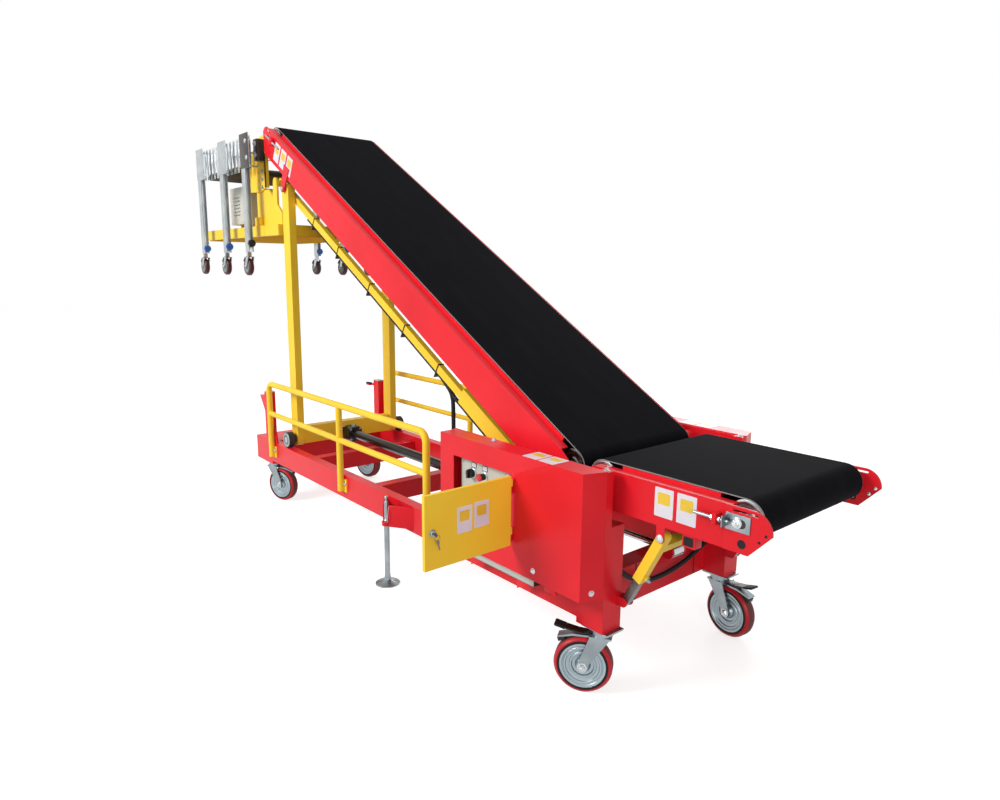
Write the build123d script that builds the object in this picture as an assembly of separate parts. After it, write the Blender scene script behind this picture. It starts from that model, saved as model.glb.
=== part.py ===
from build123d import *
import math
import os

# A mobile belt conveyor: a chassis on four swivel casters, a lifting belt boom on a leaning mast,
# a level head platform with a folded roller track, and a short tilting loading belt.
# Millimetres. X runs towards the loading end, Y across, Z up.
# The origin is on the floor, midway across, under the front face of the front legs.
# Left is the side of the control cabinet, at negative Y.

# Clearances
running_gap = 0.1
touch_gap = 0.3
side_gap = 5

# Chassis
half_width = 394
frame_bottom = 240
front_leg_depth = 116
front_leg_width = 88
front_leg_top = 600
corner_width = 26
corner_depth = 40
rail_width = 50
rail_bottom = 260
rail_top = 380
rear_end = -2850
rear_block_depth = 230
front_beam_back = -175
front_beam_front = -95
front_beam_bottom = 240
cross_beam_width = 60
cross_beam_top = 350
cross_beam_centres = (-2230, -1560, -720)
cheek_rear = -800
cheek_top = 785
cheek_thickness = 8
boss_radius = 30
boss_gap = 1.5

# Rest stands that carry the lowered boom
stand_front = -2640
stand_depth = 60
stand_width = 42
stand_top = 673
stand_gusset_foot = -2535
stand_gusset_thickness = 8
shelf_rear = -2766
shelf_front = -2722
shelf_inner = 333
shelf_thickness = 8
pad_thickness = 10
rest_gap = 5

# Side cabinets
cabinet_rear = -774
cabinet_front = -27
cabinet_depth = 84
cabinet_bottom = 366
cabinet_top = 788
cabinet_wall = 3
opening_rear = -690
opening_front = -362
opening_bottom = 463
opening_top = 712

# Cabinet door, open at rest
door_hinge_x = -352
door_hinge_offset = 8
door_width = 361
door_height = 247
door_thickness = 14
door_sheet = 2
hinge_radius = 4
hinge_length = 34
hinge_inset = 38
lock_inset = 28
lock_radius = 9
lock_height = 6

# Control box behind the door
box_rear = -680
box_front = -400
box_bottom = 500
box_top = 700
box_depth = 50
knob_x = -610
button_x = -545
switch_z = 655
knob_radius = 17
button_radius = 13
switch_length = 22

# Tray under the control box
tray_rear = -620
tray_front = -400
tray_height = 40
tray_depth = 52
tray_gap = 30

# Guard rails
guard_radius = 16
guard_top = 737
guard_middle = 561
guard_rear_post = -2583
guard_middle_post = -1730
guard_front_post = -970
guard_foot = 300
guard_bend = 45
guard_tab = 6
guard_tab_length = 36
guard_tab_height = 60

# Jacks
jack_x = -1220
jack_offset = 62
jack_tube = 20
jack_sleeve = 26
jack_sleeve_bottom = 235
jack_sleeve_top = 375
jack_tube_top = 420
jack_foot_radius = 55
jack_foot_height = 22
jack_bracket_length = 250

# Casters of the chassis
caster_front_x = -40
caster_rear_x = -2700
caster_y = 346
caster_trail = 60
wheel_radius = 100
wheel_width = 50
tread_depth = 15
tread_edge = 6
axle_radius = 8
fork_half = 36
fork_plate = 5
plate_length = 110
plate_width = 84
plate_thickness = 6
race_radius = 36

# Belts and drums, the same on the boom and on the loading belt
belt_half_width = 298
belt_radius = 60
belt_thickness = 4
bed_half_width = 302
bed_sheet = 3
side_outer = 339
side_sheet = 4
drum_shaft = 15
drum_half_width = 296

# Boom
boom_angle = 30.3
boom_length = 2715
boom_tail_x = -245
boom_tail_z = 740.5
boom_flange = 42
boom_depth = 145
boom_nose = 88
boom_nose_drop = 46
boom_lip = 25
lowered_angle = 0.5
tension_block = 30
tension_block_start = 40
tension_block_half = 16
tension_rod = 5
tension_rod_length = 180
tension_rod_lead = 30

# Mast
mast_x = -2430
mast_length = 1400
roller_radius = 45
roller_inner = 349
roller_width = 36
mast_axle = 15
post_depth = 80
post_outer = 330
post_inner = 290
post_end = 22
foot_beam_depth = 60
foot_beam_below = 30
foot_beam_above = 70
foot_notch = 48
foot_notch_above = 40
ear_thickness = 6
ear_radius = 20
ear_foot_half = 34
ear_lap = 60
ear_pin = 12
ear_pin_end = 5
ear_collar = 18

# Lift cylinder: its barrel rides with the mast's foot and its rod is held at the front beam
cylinder_eye = 28
cylinder_eye_half = 18
cap_start = 40
cap_length = 74
cap_radius = 40
barrel_radius = 25
barrel_bore = 20
gland_radius = 30
gland_length = 28
rod_radius = 12.5
rod_eye_x = -20
rod_eye_radius = 24
piston_length = 25
piston_gap = 2
clevis_half = 30
clevis_plate = 8

# Levelling links
link_drop = 235
link_inner = 260
link_width = 25
link_depth = 36
link_pin = 9
link_eye = 24
link_sleeve_start = 300
link_sleeve_end = 760
link_sleeve_depth = 70
hose_radius = 9
hose_start = 330
hose_end = 2330

# Head platform, placed from the head drum of the raised boom
platform_ahead = 84
platform_behind = 1131
platform_below = 470
platform_beam_height = 60
platform_beam_width = 30
platform_outer = 345
platform_middle = 765
floor_thickness = 4
bracket_inner = 318
bracket_thickness = 8
bracket_behind = 115
bracket_rear_behind = 364
bracket_below = 278
bracket_hole = 7
bracket_hole_first = 32
bracket_hole_spacing = 55
bracket_hole_rise = 43
upright_behind = 171
upright_depth = 90
upright_width = 22
gusset_thickness = 12
gusset_top_behind = 90
gusset_front_height = 60
head_box_behind = 811
head_box_length = 240
head_box_inner = 20
head_box_outer = -190
head_box_lift = 45
head_box_height = 240

# Folded roller track carried by the head platform
track_behind = 201
track_above = 35
track_length = 765
track_bays = 13
track_bar_length = 190
track_bar_width = 30
track_bar_thickness = 3
track_outer = 376
track_stub = 6
track_tie = 6
track_roller_radius = 20
track_roller_axle = 4
track_roller_gap = 8
leg_spacing = (0, 360, 765)
leg_depth = 56
leg_width = 28
leg_wall = 3
leg_gap = 12
leg_bottom = 1490
leg_plate_length = 128
leg_plate_height = 190
inner_leg = 22
small_wheel_radius = 50
small_wheel_width = 28
small_wheel_bottom = 1354.5
small_trail = 24
small_axle = 5
small_fork_half = 20
small_fork_plate = 4

# Loading belt
infeed_x = -100
infeed_z = 730
infeed_length = 517
infeed_flange = 45
infeed_depth = 130
infeed_seam = 495
infeed_nose = 620
infeed_nose_drop = 58
infeed_lap = 20
infeed_end_step = 3
cross_hole = 11
slide_angle = 3
slide_angle_height = 48
slide_angle_length = 74
slide_angle_behind = 34
slide_angle_leg = 26
slide_rod_length = 110
slide_block = 12

# Telescopic brace under the loading belt
brace_top_x = 164
brace_top_z = 606
brace_foot_x = 30
brace_foot_z = 345
brace_y = 317
brace_tube = 32
brace_wall = 3
brace_inner = 25
brace_outer_length = 190
brace_overlap = 85
brace_pin = 7
brace_ear = 5
brace_eye = 15

# Worked out from the sizes above
roller_z = rail_top + roller_radius
ear_x = mast_x
ear_z = roller_z + mast_length
tilt = math.radians(boom_angle)
head_x = boom_tail_x - boom_length * math.cos(tilt)
head_z = boom_tail_z + boom_length * math.sin(tilt)
platform_front = head_x + platform_ahead
platform_rear = head_x - platform_behind
platform_top = head_z - platform_below
bracket_front = head_x - bracket_behind
bracket_rear = head_x - bracket_rear_behind
bracket_bottom = head_z - bracket_below
upright_front = head_x - upright_behind
upright_rear = upright_front - upright_depth
head_box_front = head_x - head_box_behind
head_box_rear = head_box_front - head_box_length
track_first = head_x - track_behind
track_last = track_first - track_length
track_top = head_z + track_above
track_low = track_top - track_bar_length
small_wheel_z = small_wheel_bottom + small_wheel_radius
leg_y = track_outer + leg_gap + leg_width / 2
rear_block_front = rear_end + rear_block_depth
brace_length = math.hypot(brace_top_x - brace_foot_x, brace_top_z - brace_foot_z)
brace_angle = math.degrees(math.atan2(brace_top_z - brace_foot_z, brace_top_x - brace_foot_x))


# Building helpers

def block(x0, x1, y0, y1, z0, z1):
    return Pos(x0, y0, z0) * Box(x1 - x0, y1 - y0, z1 - z0, align=(Align.MIN,) * 3)


def shaft_x(x0, x1, y, z, radius):
    return Pos((x0 + x1) / 2, y, z) * Rot(0, 90, 0) * Cylinder(radius, x1 - x0)


def shaft_y(x, y0, y1, z, radius):
    return Pos(x, (y0 + y1) / 2, z) * Rot(90, 0, 0) * Cylinder(radius, y1 - y0)


def shaft_z(x, y, z0, z1, radius):
    return Pos(x, y, (z0 + z1) / 2) * Cylinder(radius, z1 - z0)


def plate(outline, y0, y1):
    """A plate across Y, from its outline of (x, z) points."""
    edge = Polyline(*[(x, y0, z) for x, z in outline], close=True)
    return extrude(make_face(edge), amount=y1 - y0, dir=(0, 1, 0))


def level_plate(outline, z0, z1):
    """A plate across Z, from its outline of (x, y) points."""
    edge = Polyline(*[(x, y, z0) for x, y in outline], close=True)
    return extrude(make_face(edge), amount=z1 - z0, dir=(0, 0, 1))


def lug(x, z, radius, foot_x0, foot_x1, foot_z, y0, y1):
    """A plate across Y that narrows from its foot to a round end."""
    body = plate([(x - radius, z), (x + radius, z), (foot_x1, foot_z), (foot_x0, foot_z)], y0, y1)
    return body + shaft_y(x, y0, y1, z, radius)


def mirrored(shape):
    return mirror(shape, about=Plane.XZ)


def both_sides(shape):
    return Compound(children=[*shape.solids(), *mirrored(shape).solids()])


def group(*shapes):
    return Compound(children=[solid for shape in shapes for solid in shape.solids()])


def placed(place, shape):
    return group(*[place * solid for solid in shape.solids()])


def on_boom(shape):
    """From the boom's own frame, tail drum at the origin and head at negative X, to its rest place."""
    return placed(Pos(boom_tail_x, 0, boom_tail_z) * Rot(0, boom_angle, 0), shape)


def to_boom(x, z):
    """A point's place in the boom's own frame."""
    dx = x - boom_tail_x
    dz = z - boom_tail_z
    return (dx * math.cos(tilt) - dz * math.sin(tilt), dx * math.sin(tilt) + dz * math.cos(tilt))


def tubes(path, radius):
    """A round tube, solid inside, along a path of lines and arcs."""
    start = Plane(origin=path @ 0, z_dir=path % 0)
    return sweep(start * Circle(radius), path=path)


# Chassis

def chassis_frame():
    rails = block(rear_block_front, -front_leg_depth, half_width - rail_width, half_width, rail_bottom, rail_top)
    legs = block(-front_leg_depth, 0, half_width - front_leg_width, half_width, frame_bottom, front_leg_top)
    side = rails + legs
    frame = side + mirrored(side)
    frame += block(rear_end, rear_block_front, -half_width, half_width, frame_bottom, rail_top)
    inner = half_width - rail_width
    frame += block(front_beam_back, front_beam_front, -inner, inner, front_beam_bottom, rail_top)
    for centre in cross_beam_centres:
        x0 = centre - cross_beam_width / 2
        frame += block(x0, x0 + cross_beam_width, -inner, inner, rail_bottom, cross_beam_top)
    return frame + cylinder_clevis()


def cheek_plates():
    """Upright plates inside the covers, with the bosses that hold the belts' inner drums."""
    inner = half_width - cheek_thickness
    side = block(cheek_rear, -front_leg_depth, inner, half_width, rail_top, cheek_top)
    side += block(-front_leg_depth, 0, inner, half_width, front_leg_top, cheek_top)
    side += block(-corner_depth, 0, half_width - corner_width, half_width, front_leg_top, cheek_top)
    for x, z in ((infeed_x, infeed_z), (boom_tail_x, boom_tail_z)):
        side += shaft_y(x, side_outer + boss_gap, inner, z, boss_radius)
    side -= shaft_y(infeed_x, side_outer, inner, infeed_z, drum_shaft + running_gap)
    return both_sides(side)


def link_lugs():
    """The lugs on the rails that face the lower ends of the levelling links."""
    z = boom_tail_z - link_drop
    y1 = half_width - cheek_thickness
    arm = shaft_y(boom_tail_x, link_inner + link_width + 1, y1, z, link_eye)
    foot = link_eye + 16
    web = plate([(boom_tail_x - foot, rail_top), (boom_tail_x + foot, rail_top), (boom_tail_x + link_eye, z),
                 (boom_tail_x - link_eye, z)], half_width - rail_width, y1)
    return both_sides(arm + web)


def brace_brackets():
    """A channel on each front leg whose two ears take the foot of the brace."""
    z = brace_foot_z
    gap = brace_inner / 2 + 0.5
    inner = brace_y - gap - brace_ear
    outer = brace_y + gap + brace_ear
    bracket = block(0, brace_ear, inner, outer, z - brace_eye, z + brace_eye)
    for y in (inner, outer - brace_ear):
        bracket += block(0, brace_foot_x, y, y + brace_ear, z - brace_eye, z + brace_eye)
        bracket += shaft_y(brace_foot_x, y, y + brace_ear, z, brace_eye)
    return both_sides(bracket)


def cylinder_clevis():
    """Two cheeks that lean forward from the front beam to the rod's eye, with their pin."""
    z = roller_z
    cheek = lug(rod_eye_x, z, rod_eye_radius, front_beam_back, front_beam_front, rail_top - 10,
                clevis_half, clevis_half + clevis_plate)
    pin = shaft_y(rod_eye_x, -clevis_half, clevis_half, z, rod_radius)
    return cheek + mirrored(cheek) + pin


def rest_stands():
    """Posts beside the lowered boom, each with a gusset and a shelf that reaches in under the boom."""
    x0 = stand_front - stand_depth
    y0 = half_width - stand_width
    post = block(x0, stand_front, y0, half_width, rail_top, stand_top)
    foot = [(stand_front, rail_top), (stand_gusset_foot, rail_top), (stand_front, stand_top)]
    gusset = plate(foot, half_width - stand_gusset_thickness, half_width)
    z1 = rest_height() - pad_thickness
    shelf = block(shelf_rear, x0, y0, half_width, z1 - shelf_thickness, z1)
    shelf += block(shelf_rear, shelf_front, shelf_inner, y0, z1 - shelf_thickness, z1)
    brace = plate([(x0, z1), (x0, z1 - 90), (shelf_rear, z1)], half_width - stand_gusset_thickness, half_width)
    return both_sides(post + gusset + shelf + brace)


def rest_pads():
    z1 = rest_height()
    pad = block(shelf_rear, shelf_front, shelf_inner, half_width - stand_width, z1 - pad_thickness, z1)
    return both_sides(pad)


def rest_height():
    """The height of the lowered boom's lower edge over the shelves, less the gap."""
    low = math.radians(lowered_angle)
    reach = boom_tail_x - shelf_front
    return boom_tail_z + reach * math.tan(low) - (boom_depth - boom_flange) / math.cos(low) - rest_gap


# Side cabinets

def cabinet_shell():
    """The left cover: a folded box with a slanted front corner and an opening for the door."""
    y0 = -half_width - cabinet_depth
    slant = [(cabinet_rear, -half_width), (cabinet_rear, y0), (cabinet_front, y0), (0, -half_width - 4),
             (0, -half_width)]
    outer = level_plate(slant, cabinet_bottom, cabinet_top)
    w = cabinet_wall
    inside = [(cabinet_rear + w, -half_width - w), (cabinet_rear + w, y0 + w), (cabinet_front - w / 2, y0 + w),
              (-2 * w, -half_width - w)]
    return outer - level_plate(inside, cabinet_bottom + w, cabinet_top - w)


def side_cabinets():
    return group(near_cabinet() + tray_brackets(), mirrored(cabinet_shell()))


def near_cabinet():
    y0 = -half_width - cabinet_depth
    window = block(opening_rear, opening_front, y0 - 1, y0 + cabinet_wall + 1, opening_bottom, opening_top)
    shell = cabinet_shell() - window
    for z in hinge_heights():
        shell += shaft_z(door_hinge_x, y0 - door_hinge_offset, z - hinge_length / 2, z - touch_gap, hinge_radius)
        shell += block(door_hinge_x - 2, door_hinge_x + 2, y0 - door_hinge_offset, y0, z - hinge_length / 2, z - touch_gap)
    return shell


def hinge_heights():
    return (opening_bottom + hinge_inset, opening_top - hinge_inset)


def cabinet_door():
    """The door stands square to the cabinet; it shuts by a quarter turn about its hinge."""
    y_hinge = -half_width - cabinet_depth - door_hinge_offset
    z0 = opening_bottom + 1
    x0 = door_hinge_x - hinge_radius - 1
    x1 = x0 + door_thickness
    door = block(x0, x1, y_hinge - door_width, y_hinge - 6, z0, z0 + door_height)
    door -= block(x0, x1 - door_sheet, y_hinge - door_width + door_sheet, y_hinge - 6 - door_sheet,
                  z0 + door_sheet, z0 + door_height - door_sheet)
    for z in hinge_heights():
        door += shaft_z(door_hinge_x, y_hinge, z, z + hinge_length / 2, hinge_radius)
        door += block(x0, door_hinge_x, y_hinge - 8, y_hinge, z, z + hinge_length / 2)
    return door + door_lock(x1, y_hinge - door_width + lock_inset)


def door_lock(x, y):
    """The lock's round body, through the door's sheet near its free edge."""
    z = (opening_bottom + opening_top) / 2
    return shaft_x(x - door_thickness / 2, x + lock_height, y, z, lock_radius)


def control_box():
    y1 = -half_width - cabinet_wall
    box = block(box_rear, box_front, y1 - box_depth, y1, box_bottom, box_top)
    return fillet(box.edges().filter_by(Axis.Y), 4)


def panel_switches():
    face = -half_width - cabinet_wall - box_depth
    knob = shaft_y(knob_x, face - switch_length, face, switch_z, knob_radius)
    knob += block(knob_x - 4, knob_x + 4, face - switch_length - 8, face - switch_length, switch_z - 15, switch_z + 15)
    button = shaft_y(button_x, face - switch_length, face, switch_z, button_radius)
    return group(knob, button)


def cabinet_tray():
    """A pale channel under the cabinet, open at its ends, with a gusset at each end."""
    y0 = -half_width - tray_depth
    z1 = cabinet_bottom - tray_gap
    outer = block(tray_rear, tray_front, y0, -half_width, z1 - tray_height, z1)
    inner = block(tray_rear, tray_front, y0 + 3, -half_width - 3, z1 - tray_height + 3, z1)
    return outer - inner


def tray_brackets():
    y0 = -half_width - tray_depth
    z1 = cabinet_bottom - tray_gap
    x0 = tray_rear + 20
    x1 = tray_front - 40
    arms = block(x0, x0 + 6, y0 + 6, -half_width - 3, z1, cabinet_bottom)
    return arms + block(x1, x1 + 6, y0 + 6, -half_width - 3, z1, cabinet_bottom)


# Guard rails

def guard_rail():
    y = -half_width - guard_radius - 1
    b = guard_bend
    x0 = guard_rear_post
    x1 = guard_front_post
    top = guard_top
    corners = [(x0, y, guard_foot), (x0, y, top), (x1, y, top), (x1, y, guard_foot)]
    rail = tubes(FilletPolyline(*corners, radius=b), guard_radius)
    rail += shaft_z(guard_middle_post, y, guard_foot, top, guard_radius)
    rail += shaft_x(x0, x1, y, guard_middle, guard_radius * 0.9)
    for x in (x0, guard_middle_post, x1):
        rail += block(x, x + guard_tab_length, -half_width - guard_tab, -half_width, guard_foot - guard_tab,
                      guard_foot + guard_tab_height)
    return rail


def guard_rails():
    return both_sides(guard_rail())


# Jacks

def jack_y():
    return half_width + jack_offset


def jack_brackets():
    y = jack_y()
    half = jack_bracket_length / 2
    z1 = rail_top - 8
    z0 = jack_sleeve_bottom + 40
    wedge = [(jack_x - half, half_width), (jack_x + half, half_width), (jack_x + 30, y), (jack_x - 30, y)]
    arm = level_plate(wedge, z0, z0 + 6) + level_plate(wedge, z1 - 6, z1)
    for side in (-1, 1):
        rib = [(jack_x + side * half, half_width), (jack_x + side * (half - 8), half_width),
               (jack_x + side * 22, y), (jack_x + side * 30, y)]
        arm += level_plate(rib, z0, z1)
    arm += shaft_z(jack_x, y, jack_sleeve_bottom, jack_sleeve_top, jack_sleeve)
    arm -= shaft_z(jack_x, y, jack_sleeve_bottom, jack_sleeve_top, jack_tube + running_gap)
    return both_sides(arm)


def jack_leg(side):
    y = side * jack_y()
    leg = shaft_z(jack_x, y, jack_foot_height, jack_tube_top, jack_tube)
    foot = Cone(jack_foot_radius, jack_tube, jack_foot_height - 6, align=(Align.CENTER, Align.CENTER, Align.MIN))
    leg += Pos(jack_x, y, 6) * foot
    leg += shaft_z(jack_x, y, 0, 6, jack_foot_radius)
    return leg


# Casters of the chassis: name, swivel x, side, and the way the wheel trails, in degrees
casters = (
    ("front_near", caster_front_x, -1, 215),
    ("front_far", caster_front_x, 1, -6),
    ("rear_near", caster_rear_x, -1, 22),
    ("rear_far", caster_rear_x, 1, 195),
)


def at_caster(shape, x, side, heading):
    return Pos(x, side * caster_y, 0) * Rot(0, 0, heading) * shape


def caster_plates():
    plates = []
    for name, x, side, heading in casters:
        y = side * caster_y
        z0 = frame_bottom - plate_thickness
        body = block(x - plate_length / 2, x + plate_length / 2, y - plate_width / 2, y + plate_width / 2, z0, frame_bottom)
        plates.append(body)
    return group(*plates)


def caster_fork():
    top = frame_bottom - plate_thickness - 0.5
    head = shaft_z(0, 0, top - 22, top, race_radius)
    head += block(-34, 40, -fork_half, fork_half, top - 26, top - 20)
    outline = [(-30, top - 22), (38, top - 22), (caster_trail + 18, wheel_radius + 4), (caster_trail + 12, wheel_radius - 16),
               (caster_trail - 12, wheel_radius - 16), (caster_trail - 20, wheel_radius + 10)]
    cheek = plate(outline, fork_half - fork_plate, fork_half)
    axle = shaft_y(caster_trail, -fork_half - 4, fork_half + 4, wheel_radius, axle_radius)
    fork = head + cheek + mirrored(cheek) + axle
    pedal = plate([(30, top - 26), (96, top - 26), (148, top - 40), (150, top - 46), (96, top - 34), (30, top - 32)], -18, 18)
    return fork + pedal


def caster_tyre():
    outer = Cylinder(wheel_radius, wheel_width)
    outer = chamfer(outer.edges(), tread_edge)
    ring = outer - Cylinder(wheel_radius - tread_depth, wheel_width)
    return Pos(caster_trail, 0, wheel_radius) * Rot(90, 0, 0) * ring


def caster_rim():
    """A pressed wheel: rim band, dished web and hub, as half of a section turned about the axle."""
    r = wheel_radius - tread_depth - touch_gap
    w = wheel_width / 2
    bore = axle_radius + running_gap
    section = [(bore, -28), (20, -28), (24, -9), (r - 26, -9), (r - 14, -w), (r, -w),
               (r, w), (r - 14, w), (r - 26, 9), (24, 9), (20, 28), (bore, 28)]
    face = make_face(Polyline(*[(a, 0, b) for a, b in section], close=True))
    disc = revolve(face, axis=Axis.Z)
    return Pos(caster_trail, 0, wheel_radius) * Rot(90, 0, 0) * disc


# Belts, beds and drums, in a frame with one drum at the origin and the other at negative X

def belt_loop(length):
    outer = SlotCenterToCenter(length, 2 * belt_radius)
    inner = SlotCenterToCenter(length, 2 * (belt_radius - belt_thickness))
    band = extrude(outer - inner, amount=belt_half_width, both=True)
    return Pos(-length / 2, 0, 0) * Rot(90, 0, 0) * band


def drum(x):
    roll = shaft_y(x, -drum_half_width, drum_half_width, 0, belt_radius - belt_thickness - touch_gap)
    return roll


def bed_tray(length, flange):
    """The steel bed under the carrying run, folded down at both sides onto the flanges."""
    top = belt_radius - belt_thickness - touch_gap
    x0 = -(length - 80)
    bed = block(x0, -80, -bed_half_width, bed_half_width, flange - 30, top)
    inner = bed_half_width - bed_sheet
    return bed - block(x0, -80, -inner, inner, flange - 30, top - bed_sheet)


def side_flange(x0, x1, flange):
    return block(x0, x1, bed_half_width, side_outer - side_sheet, flange - side_sheet, flange)


# Boom

def boom_plates():
    top = boom_flange
    low = boom_flange - boom_depth
    head = -boom_length
    nose = head - boom_nose
    y0 = side_outer - side_sheet
    tail = Polyline((nose + boom_nose_drop, y0, top), (-47, y0, top), (16, y0, 30), (34, y0, 0), (34, y0, low + 62),
                    (-20, y0, low), (head - 20, y0, low), (nose, y0, top - boom_nose_drop))
    inset = boom_nose_drop * (1 - math.sqrt(0.5))
    tip = ThreePointArc(tail @ 1, (nose + inset, y0, top - inset), tail @ 0)
    side = extrude(make_face([tail, tip]), amount=side_sheet, dir=(0, 1, 0))
    slot = block(nose + 40, nose + 92, y0, side_outer, top - 18, top - 11)
    side -= slot
    side += side_flange(nose + 60, -47, top)
    side += block(head + 120, -60, side_outer - boom_lip, y0, low, low + side_sheet)
    side -= shaft_y(0, y0, side_outer, 0, drum_shaft + running_gap)
    side -= shaft_y(head, y0, side_outer, 0, drum_shaft + running_gap)
    return on_boom(both_sides(side))


def boom_ears():
    """A tab on the outer face of each side plate, with the pin that turns in the mast's post."""
    ear_s, ear_n = to_boom(ear_x, ear_z)
    low = boom_flange - boom_depth
    y0 = side_outer
    y1 = side_outer + ear_thickness
    ear = lug(ear_s, ear_n, ear_radius, ear_s - ear_foot_half, ear_s + ear_foot_half, low + ear_lap, y0, y1)
    ear += shaft_y(ear_s, post_inner + 2, y1 + ear_pin_end, ear_n, ear_pin)
    ear += shaft_y(ear_s, post_outer + touch_gap, y0, ear_n, ear_collar)
    return on_boom(both_sides(ear))


def boom_bed():
    bed = bed_tray(boom_length, boom_flange)
    inner = bed_half_width - bed_sheet
    for x in range(-350, -int(boom_length) + 100, -460):
        bed += block(x - 20, x + 20, -inner, inner, boom_flange - 30, boom_flange - 4)
        for y0, y1 in ((bed_half_width, side_outer - side_sheet), (-(side_outer - side_sheet), -bed_half_width)):
            bed += block(x - 20, x + 20, y0, y1, boom_flange - 30, boom_flange - side_sheet)
    return on_boom(bed)


def boom_belt():
    return on_boom(belt_loop(boom_length))


def boom_drums():
    parts = []
    for x in (0, -boom_length):
        roll = drum(x) + shaft_y(x, -(side_outer - 1), side_outer - 1, 0, drum_shaft)
        parts.append(roll)
    return on_boom(group(*parts))


def boom_tensioners():
    x0 = -boom_length + tension_block_start
    rod_x0 = -boom_length - tension_rod_lead
    y0 = side_outer
    half = tension_block_half
    body = block(x0, x0 + tension_block, y0, y0 + half, -half, half)
    body += shaft_x(rod_x0, rod_x0 + tension_rod_length, y0 + half / 2, 0, tension_rod)
    return on_boom(both_sides(body))


# Mast

def mast_frame():
    x0 = mast_x - post_depth / 2
    x1 = mast_x + post_depth / 2
    post = block(x0, x1, post_inner, post_outer, roller_z, ear_z + post_end)
    post += shaft_y(mast_x, post_inner, post_outer, roller_z, post_depth / 2)
    post -= shaft_y(mast_x, post_inner, post_outer, ear_z, ear_pin + running_gap)
    half = foot_beam_depth / 2
    beam = block(mast_x - half, mast_x + half, -post_inner, post_inner, roller_z - foot_beam_below, roller_z + foot_beam_above)
    beam -= block(mast_x - half, mast_x + half, -foot_notch, foot_notch, roller_z - foot_beam_below,
                  roller_z + foot_notch_above)
    frame = post + mirrored(post) + beam
    return frame - shaft_y(mast_x, -half_width, half_width, roller_z, mast_axle + running_gap)


def foot_rollers():
    y1 = roller_inner + roller_width
    axle = shaft_y(mast_x, -(y1 + 3), y1 + 3, roller_z, mast_axle)
    roll = shaft_y(mast_x, roller_inner, y1, roller_z, roller_radius - touch_gap)
    roll += shaft_y(mast_x, post_outer + 1, roller_inner, roller_z, mast_axle + 8)
    return axle + roll + mirrored(roll)


def cylinder_barrel():
    z = roller_z
    x0 = mast_x + cap_start
    gland_end = x0 + 2 + barrel_stroke() + piston_length + piston_gap + gland_length
    barrel = shaft_x(x0, x0 + cap_length, 0, z, cap_radius)
    barrel += shaft_x(x0 + cap_length, gland_end, 0, z, barrel_radius)
    barrel += shaft_x(gland_end - gland_length, gland_end, 0, z, gland_radius)
    barrel += shaft_y(mast_x, -cylinder_eye_half, cylinder_eye_half, z, cylinder_eye)
    barrel += block(mast_x, x0, -cylinder_eye_half, cylinder_eye_half, z - cylinder_eye, z + cylinder_eye)
    barrel -= shaft_x(x0 + 2, gland_end - gland_length, 0, z, barrel_bore)
    barrel -= shaft_x(gland_end - gland_length, gland_end, 0, z, rod_radius + running_gap)
    return barrel - shaft_y(mast_x, -cylinder_eye_half, cylinder_eye_half, z, mast_axle + running_gap)


def barrel_stroke():
    """How far the mast's foot travels along the rails as the boom comes down."""
    low = math.radians(lowered_angle)
    s, n = to_boom(ear_x, ear_z)
    low_ear_x = boom_tail_x + s * math.cos(low) + n * math.sin(low)
    low_ear_z = boom_tail_z - s * math.sin(low) + n * math.cos(low)
    lean = math.acos((low_ear_z - roller_z) / mast_length)
    return low_ear_x + mast_length * math.sin(lean) - mast_x


def cylinder_rod():
    z = roller_z
    end = mast_x + cap_start + 2 + barrel_stroke() + piston_gap / 2
    rod = shaft_x(end + piston_length, rod_eye_x, 0, z, rod_radius)
    rod += shaft_x(end, end + piston_length, 0, z, barrel_bore - running_gap)
    rod += shaft_y(rod_eye_x, -clevis_half + 2, clevis_half - 2, z, rod_eye_radius)
    return rod - shaft_y(rod_eye_x, -clevis_half, clevis_half, z, rod_radius + running_gap)


# Levelling links, parallel to the boom and hung below its drums' line

def on_link(shape):
    return placed(Pos(boom_tail_x, 0, boom_tail_z - link_drop) * Rot(0, boom_angle, 0), shape)


def link_bars():
    y1 = link_inner + link_width
    bar = block(-boom_length, 0, link_inner, y1, -link_depth / 2, link_depth / 2)
    half = link_sleeve_depth / 2
    bar += block(-link_sleeve_end, -link_sleeve_start, link_inner, y1, -half, half)
    for x in (0, -boom_length):
        bar += shaft_y(x, link_inner, y1, 0, link_eye)
    bar -= shaft_y(-boom_length, link_inner, y1, 0, link_pin + running_gap)
    return on_link(both_sides(bar))


def link_hose():
    y = -(link_inner + link_width / 2)
    z = -link_depth / 2 - hose_radius - touch_gap
    deep = -link_sleeve_depth / 2 - hose_radius - touch_gap
    run = FilletPolyline((-hose_end, y, z), (-link_sleeve_end - 150, y, z), (-link_sleeve_end - 40, y, deep),
                         (-hose_start, y, deep), radius=90)
    return on_link(tubes(run, hose_radius))


# Head platform

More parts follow.
